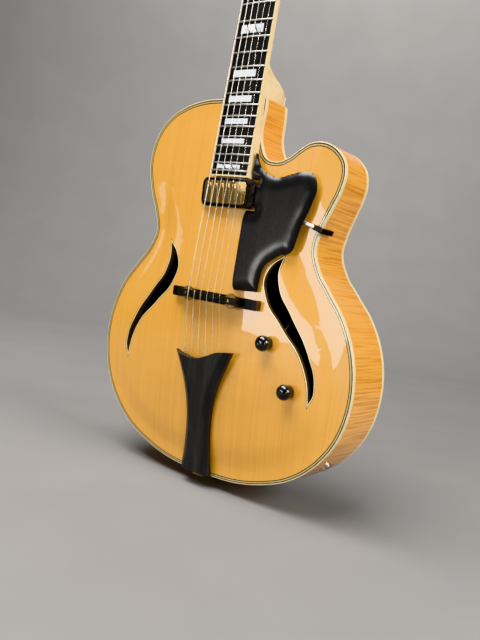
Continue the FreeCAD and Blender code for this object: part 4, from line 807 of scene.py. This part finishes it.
def pole_head(bm, seat, turn):
    """A screw head with a rounded rim and a slot, standing on a seat and facing the front."""
    rise, slot = pole_rise * MM, pole_slot * MM
    head = bmesh.new()
    bmesh.ops.create_circle(head, cap_ends=True, segments=pole_sides, radius=pole_radius * MM)
    top = bmesh.ops.extrude_face_region(head, geom=head.faces[:])
    bmesh.ops.translate(head, verts=new_verts(top), vec=(0, 0, rise))
    bmesh.ops.recalc_face_normals(head, faces=head.faces)
    rim = [edge for edge in head.edges if all(vert.co.z > rise * top_share for vert in edge.verts)]
    bmesh.ops.bevel(
        head, geom=rim, offset=rise * pole_rim_share, offset_type="OFFSET", segments=4, profile=0.5,
        affect="EDGES", material=-1,
    )
    for side in (-1, 1):
        bmesh.ops.bisect_plane(
            head, geom=everything(head), dist=cut_tolerance, plane_co=(0, side * slot / 2, 0),
            plane_no=(0, 1, 0),
        )
    floor = [f for f in head.faces if f.normal.z > upward and abs(f.calc_center_median().y) < slot / 2]
    for vert in new_verts(bmesh.ops.extrude_face_region(head, geom=floor)):
        vert.co.z = rise - pole_slot_depth * MM
    bmesh.ops.remove_doubles(head, verts=head.verts, dist=cut_tolerance)
    to_front = Vector((0, -1, 0)).to_track_quat("Z", "Y").to_matrix().to_4x4()
    turned = to_front @ Matrix.Rotation(turn, 4, "Z")
    bmesh.ops.transform(head, matrix=Matrix.Translation(seat) @ turned, verts=head.verts)
    shape = bpy.data.meshes.new("head_shape")
    head.to_mesh(shape)
    head.free()
    bm.from_mesh(shape)
    bpy.data.meshes.remove(shape)


poles = bmesh.new()
for i in range(string_count):
    pole_x = pole_spacing * (i - (string_count - 1) / 2)
    seat = spot(pole_x, front_edge_y - cover_rise + pole_sink, pickup_z + pole_offset)
    pole_head(poles, seat, pole_turn * math.sin(pole_turn_step * i))
add_piece("pole_screw_heads", poles, mirror_gold, "pickup", ("pole_screws",), smooth_below=40)


# Strings

wire_sides = 10
anchor_drop = 3.0
post_room = 0.05
post_turns = 2.75
steps_per_turn = 20
turn_pitch_in_radii = 2.1


def crest_z(x):
    """Height of the tailpiece's upper edge."""
    for (x1, z1), (x2, z2) in zip(tail_crest, tail_crest[1:]):
        if x <= x2:
            return z1 + (z2 - z1) * (x - x1) / (x2 - x1)
    return tail_crest[-1][1]


def wire(bm, start, end, radius):
    """A straight length of wire between two points."""
    along = end - start
    turn = along.to_track_quat("Z", "Y").to_matrix().to_4x4()
    where = Matrix.Translation((start + end) / 2) @ turn
    bmesh.ops.create_cone(
        bm, cap_ends=True, segments=wire_sides, radius1=radius, radius2=radius, depth=along.length,
        matrix=where,
    )


def wrap(bm, start, run, centre, axis, radius, turns):
    """Turns of wire round a tuning post, each next to the last one, towards the headstock."""
    turn = run.to_track_quat("Z", "Y").to_matrix().to_4x4()
    ring = bmesh.ops.create_circle(
        bm, cap_ends=True, segments=wire_sides, radius=radius, matrix=Matrix.Translation(start) @ turn
    )
    faces = list({face for vert in ring["verts"] for face in vert.link_faces})
    steps = round(steps_per_turn * abs(turns))
    rise = turn_pitch_in_radii * radius * abs(turns) / steps
    bmesh.ops.spin(
        bm, geom=faces, cent=centre, axis=axis, angle=2 * math.pi * turns, steps=steps, dvec=axis * rise,
        use_merge=False, use_duplicate=False,
    )
    bmesh.ops.recalc_face_normals(bm, faces=bm.faces)


def string_head(bm, i, nut_top):
    """From the nut to the post and round it."""
    side, post_x, post_h = post_stations[i]
    radius = string_radii[i]
    origin = head_spot(0, 0, 0)
    across = (head_spot(0, 1, 0) - origin).normalized()
    along = (head_spot(0, 0, 1) - origin).normalized()
    level = (nut_top - origin).dot(across) / MM
    nut_x, nut_h = nut_top.x / MM, (nut_top - origin).dot(along) / MM
    reach_x, reach_h = side * post_x - nut_x, post_h - nut_h
    reach = math.hypot(reach_x, reach_h)
    loop = post_radius + post_room + radius
    angle = math.atan2(reach_x, reach_h) - side * math.asin(loop / reach)
    run = math.sqrt(reach * reach - loop * loop)
    touch = head_spot(nut_x + run * math.sin(angle), level, nut_h + run * math.cos(angle))
    centre = head_spot(side * post_x, level, post_h)
    wire(bm, nut_top, touch, radius * MM)
    wrap(bm, touch, touch - nut_top, centre, across, radius * MM, -side * post_turns)


for i, radius in enumerate(string_radii):
    wound = i < wound_count
    finish = wound_wire if wound else plain_wire
    slot_name = "wound_string" if wound else "plain_string"
    share = i / (string_count - 1) - 0.5
    anchor_x = anchor_string_span * share
    anchor = spot(anchor_x, front_edge_y - anchor_string_rise, crest_z(anchor_x) - anchor_drop)
    crown = spot(saddle_string_span * share, front_edge_y - saddle_string_rise - radius, saddle_z)
    nut_top = neck_spot(nut_string_span * share, -nut_string_height - radius, scale_length + nut_length / 2)
    speaking = bmesh.new()
    wire(speaking, crown, nut_top, radius * MM)
    piece = add_piece(f"string_{i + 1}_speaking", speaking, finish, None)
    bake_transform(piece)
    trailing = bmesh.new()
    wire(trailing, anchor, crown, radius * MM)
    piece = add_piece(f"string_{i + 1}_tail", trailing, finish, None)
    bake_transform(piece)
    if i in (0, wound_count):
        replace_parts(piece, "wound_strings" if wound else "plain_strings")
    winding = bmesh.new()
    string_head(winding, i, nut_top)
    add_piece(f"string_{i + 1}_head", winding, finish, "guitar")


# Studio: floor and backdrop in one sweep, soft boxes, camera

floor_gap = 0.0005
floor_z = cad_box[0].z - floor_gap
sweep_half_width = 6.0
sweep_near_y = -4.0
sweep_far_y = 1.6
sweep_bend = 1.4
sweep_top_z = 4.5
sweep_steps = 24
sweep_turn = math.radians(33.5)
lamp_tint = (1.0, 0.97, 0.93)


def studio_paper():
    """Plain grey paper with the faintest cloud."""
    material, tree, shader = start_finish("studio_paper", (0.205, 0.203, 0.203), 0.9)
    cloud = noise(tree, stretched(tree, place(tree), (6, 6, 6)), detail=3)
    color = graded(tree, cloud, (0.3, (0.199, 0.197, 0.197)), (0.7, (0.211, 0.209, 0.209)))
    tree.links.new(color, shader.inputs["Base Color"])
    return material


def drawn_on(bm, vert, point):
    """The end of a straight edge drawn from a vertex to a point."""
    end = bmesh.ops.extrude_vert_indiv(bm, verts=[vert])["verts"][0]
    bmesh.ops.translate(bm, verts=[end], vec=Vector(point) - end.co)
    return end


def studio_sweep():
    """One sheet: floor to the front, a large curve, and the wall behind."""
    bm = bmesh.new()
    left = -sweep_half_width
    near = bmesh.ops.create_vert(bm, co=(left, sweep_near_y, floor_z))["vert"][0]
    far = drawn_on(bm, near, (left, sweep_far_y, floor_z))
    bend = bmesh.ops.spin(
        bm, geom=[far], cent=(0, sweep_far_y, floor_z + sweep_bend), axis=(1, 0, 0), angle=math.pi / 2,
        steps=sweep_steps,
    )
    last = next(thing for thing in bend["geom_last"] if isinstance(thing, bmesh.types.BMVert))
    drawn_on(bm, last, (left, sweep_far_y + sweep_bend, sweep_top_z))
    strip = bmesh.ops.extrude_edge_only(bm, edges=bm.edges[:])
    bmesh.ops.translate(bm, verts=new_verts(strip), vec=(2 * sweep_half_width, 0, 0))
    bmesh.ops.rotate(bm, verts=bm.verts, cent=(0, 0, 0), matrix=Matrix.Rotation(sweep_turn, 3, "Z"))
    bmesh.ops.recalc_face_normals(bm, faces=bm.faces)
    mesh = bpy.data.meshes.new("studio_sweep")
    bm.to_mesh(mesh)
    bm.free()
    mesh.polygons.foreach_set("use_smooth", [True] * len(mesh.polygons))
    mesh.materials.append(studio_paper())
    sweep = bpy.data.objects.new("studio_sweep", mesh)
    bpy.context.scene.collection.objects.link(sweep)


studio_sweep()


def soft_box(name, place_at, aim, width, height, power):
    """A rectangular lamp at a place, turned to a point."""
    lamp = bpy.data.lights.new(name, "AREA")
    lamp.shape = "RECTANGLE"
    lamp.size, lamp.size_y = width, height
    lamp.energy = power
    lamp.color = lamp_tint
    box = bpy.data.objects.new(name, lamp)
    box.location = place_at
    box.rotation_mode = "QUATERNION"
    box.rotation_quaternion = (Vector(aim) - Vector(place_at)).to_track_quat("-Z", "Y")
    bpy.context.scene.collection.objects.link(box)


body_middle = (0.0, -0.02, 0.25)
soft_box("front_box", (-0.86, -2.2, 0.30), body_middle, width=0.92, height=0.56, power=15)
soft_box("left_box", (-2.1, -1.27, 0.48), body_middle, width=0.38, height=0.14, power=0.42)
soft_box("overhead_box", (-0.3, -0.8, 2.3), body_middle, width=2.4, height=1.2, power=110)
soft_box("right_box", (2.4, -0.15, 1.4), (0.15, 0.0, 0.35), width=1.0, height=1.2, power=62)
soft_box("edge_box", (1.9, -1.4, 0.5), body_middle, width=0.25, height=1.0, power=7)
soft_box("guard_card", (-1.40, -1.9, 0.84), (0.07, -0.06, 0.32), width=0.32, height=0.42, power=0.45)
soft_box("wall_box", (-0.6, 1.2, 2.6), (-1.66, 2.5, 2.0), width=2.8, height=1.0, power=78)

world = bpy.data.worlds.new("studio_air")
world.use_nodes = True
air = world.node_tree.nodes["Background"]
air.inputs["Color"].default_value = (0.80, 0.80, 0.82, 1.0)
air.inputs["Strength"].default_value = 0.17
bpy.context.scene.world = world

camera_data = bpy.data.cameras.new("studio_camera")
camera_data.lens = 36.4029
camera_data.sensor_width = 36.0
camera_data.shift_x = -0.09
camera_data.shift_y = 0.15
camera = bpy.data.objects.new("studio_camera", camera_data)
camera.matrix_world = Matrix((
    (0.80498011, -0.24478533, 0.54045088, 0.57699),
    (0.57287478, 0.08371741, -0.81535629, -0.68586),
    (0.15434211, 0.96595628, 0.20762219, 0.28283),
    (0.0, 0.0, 0.0, 1.0),
))
bpy.context.scene.collection.objects.link(camera)
bpy.context.scene.camera = camera
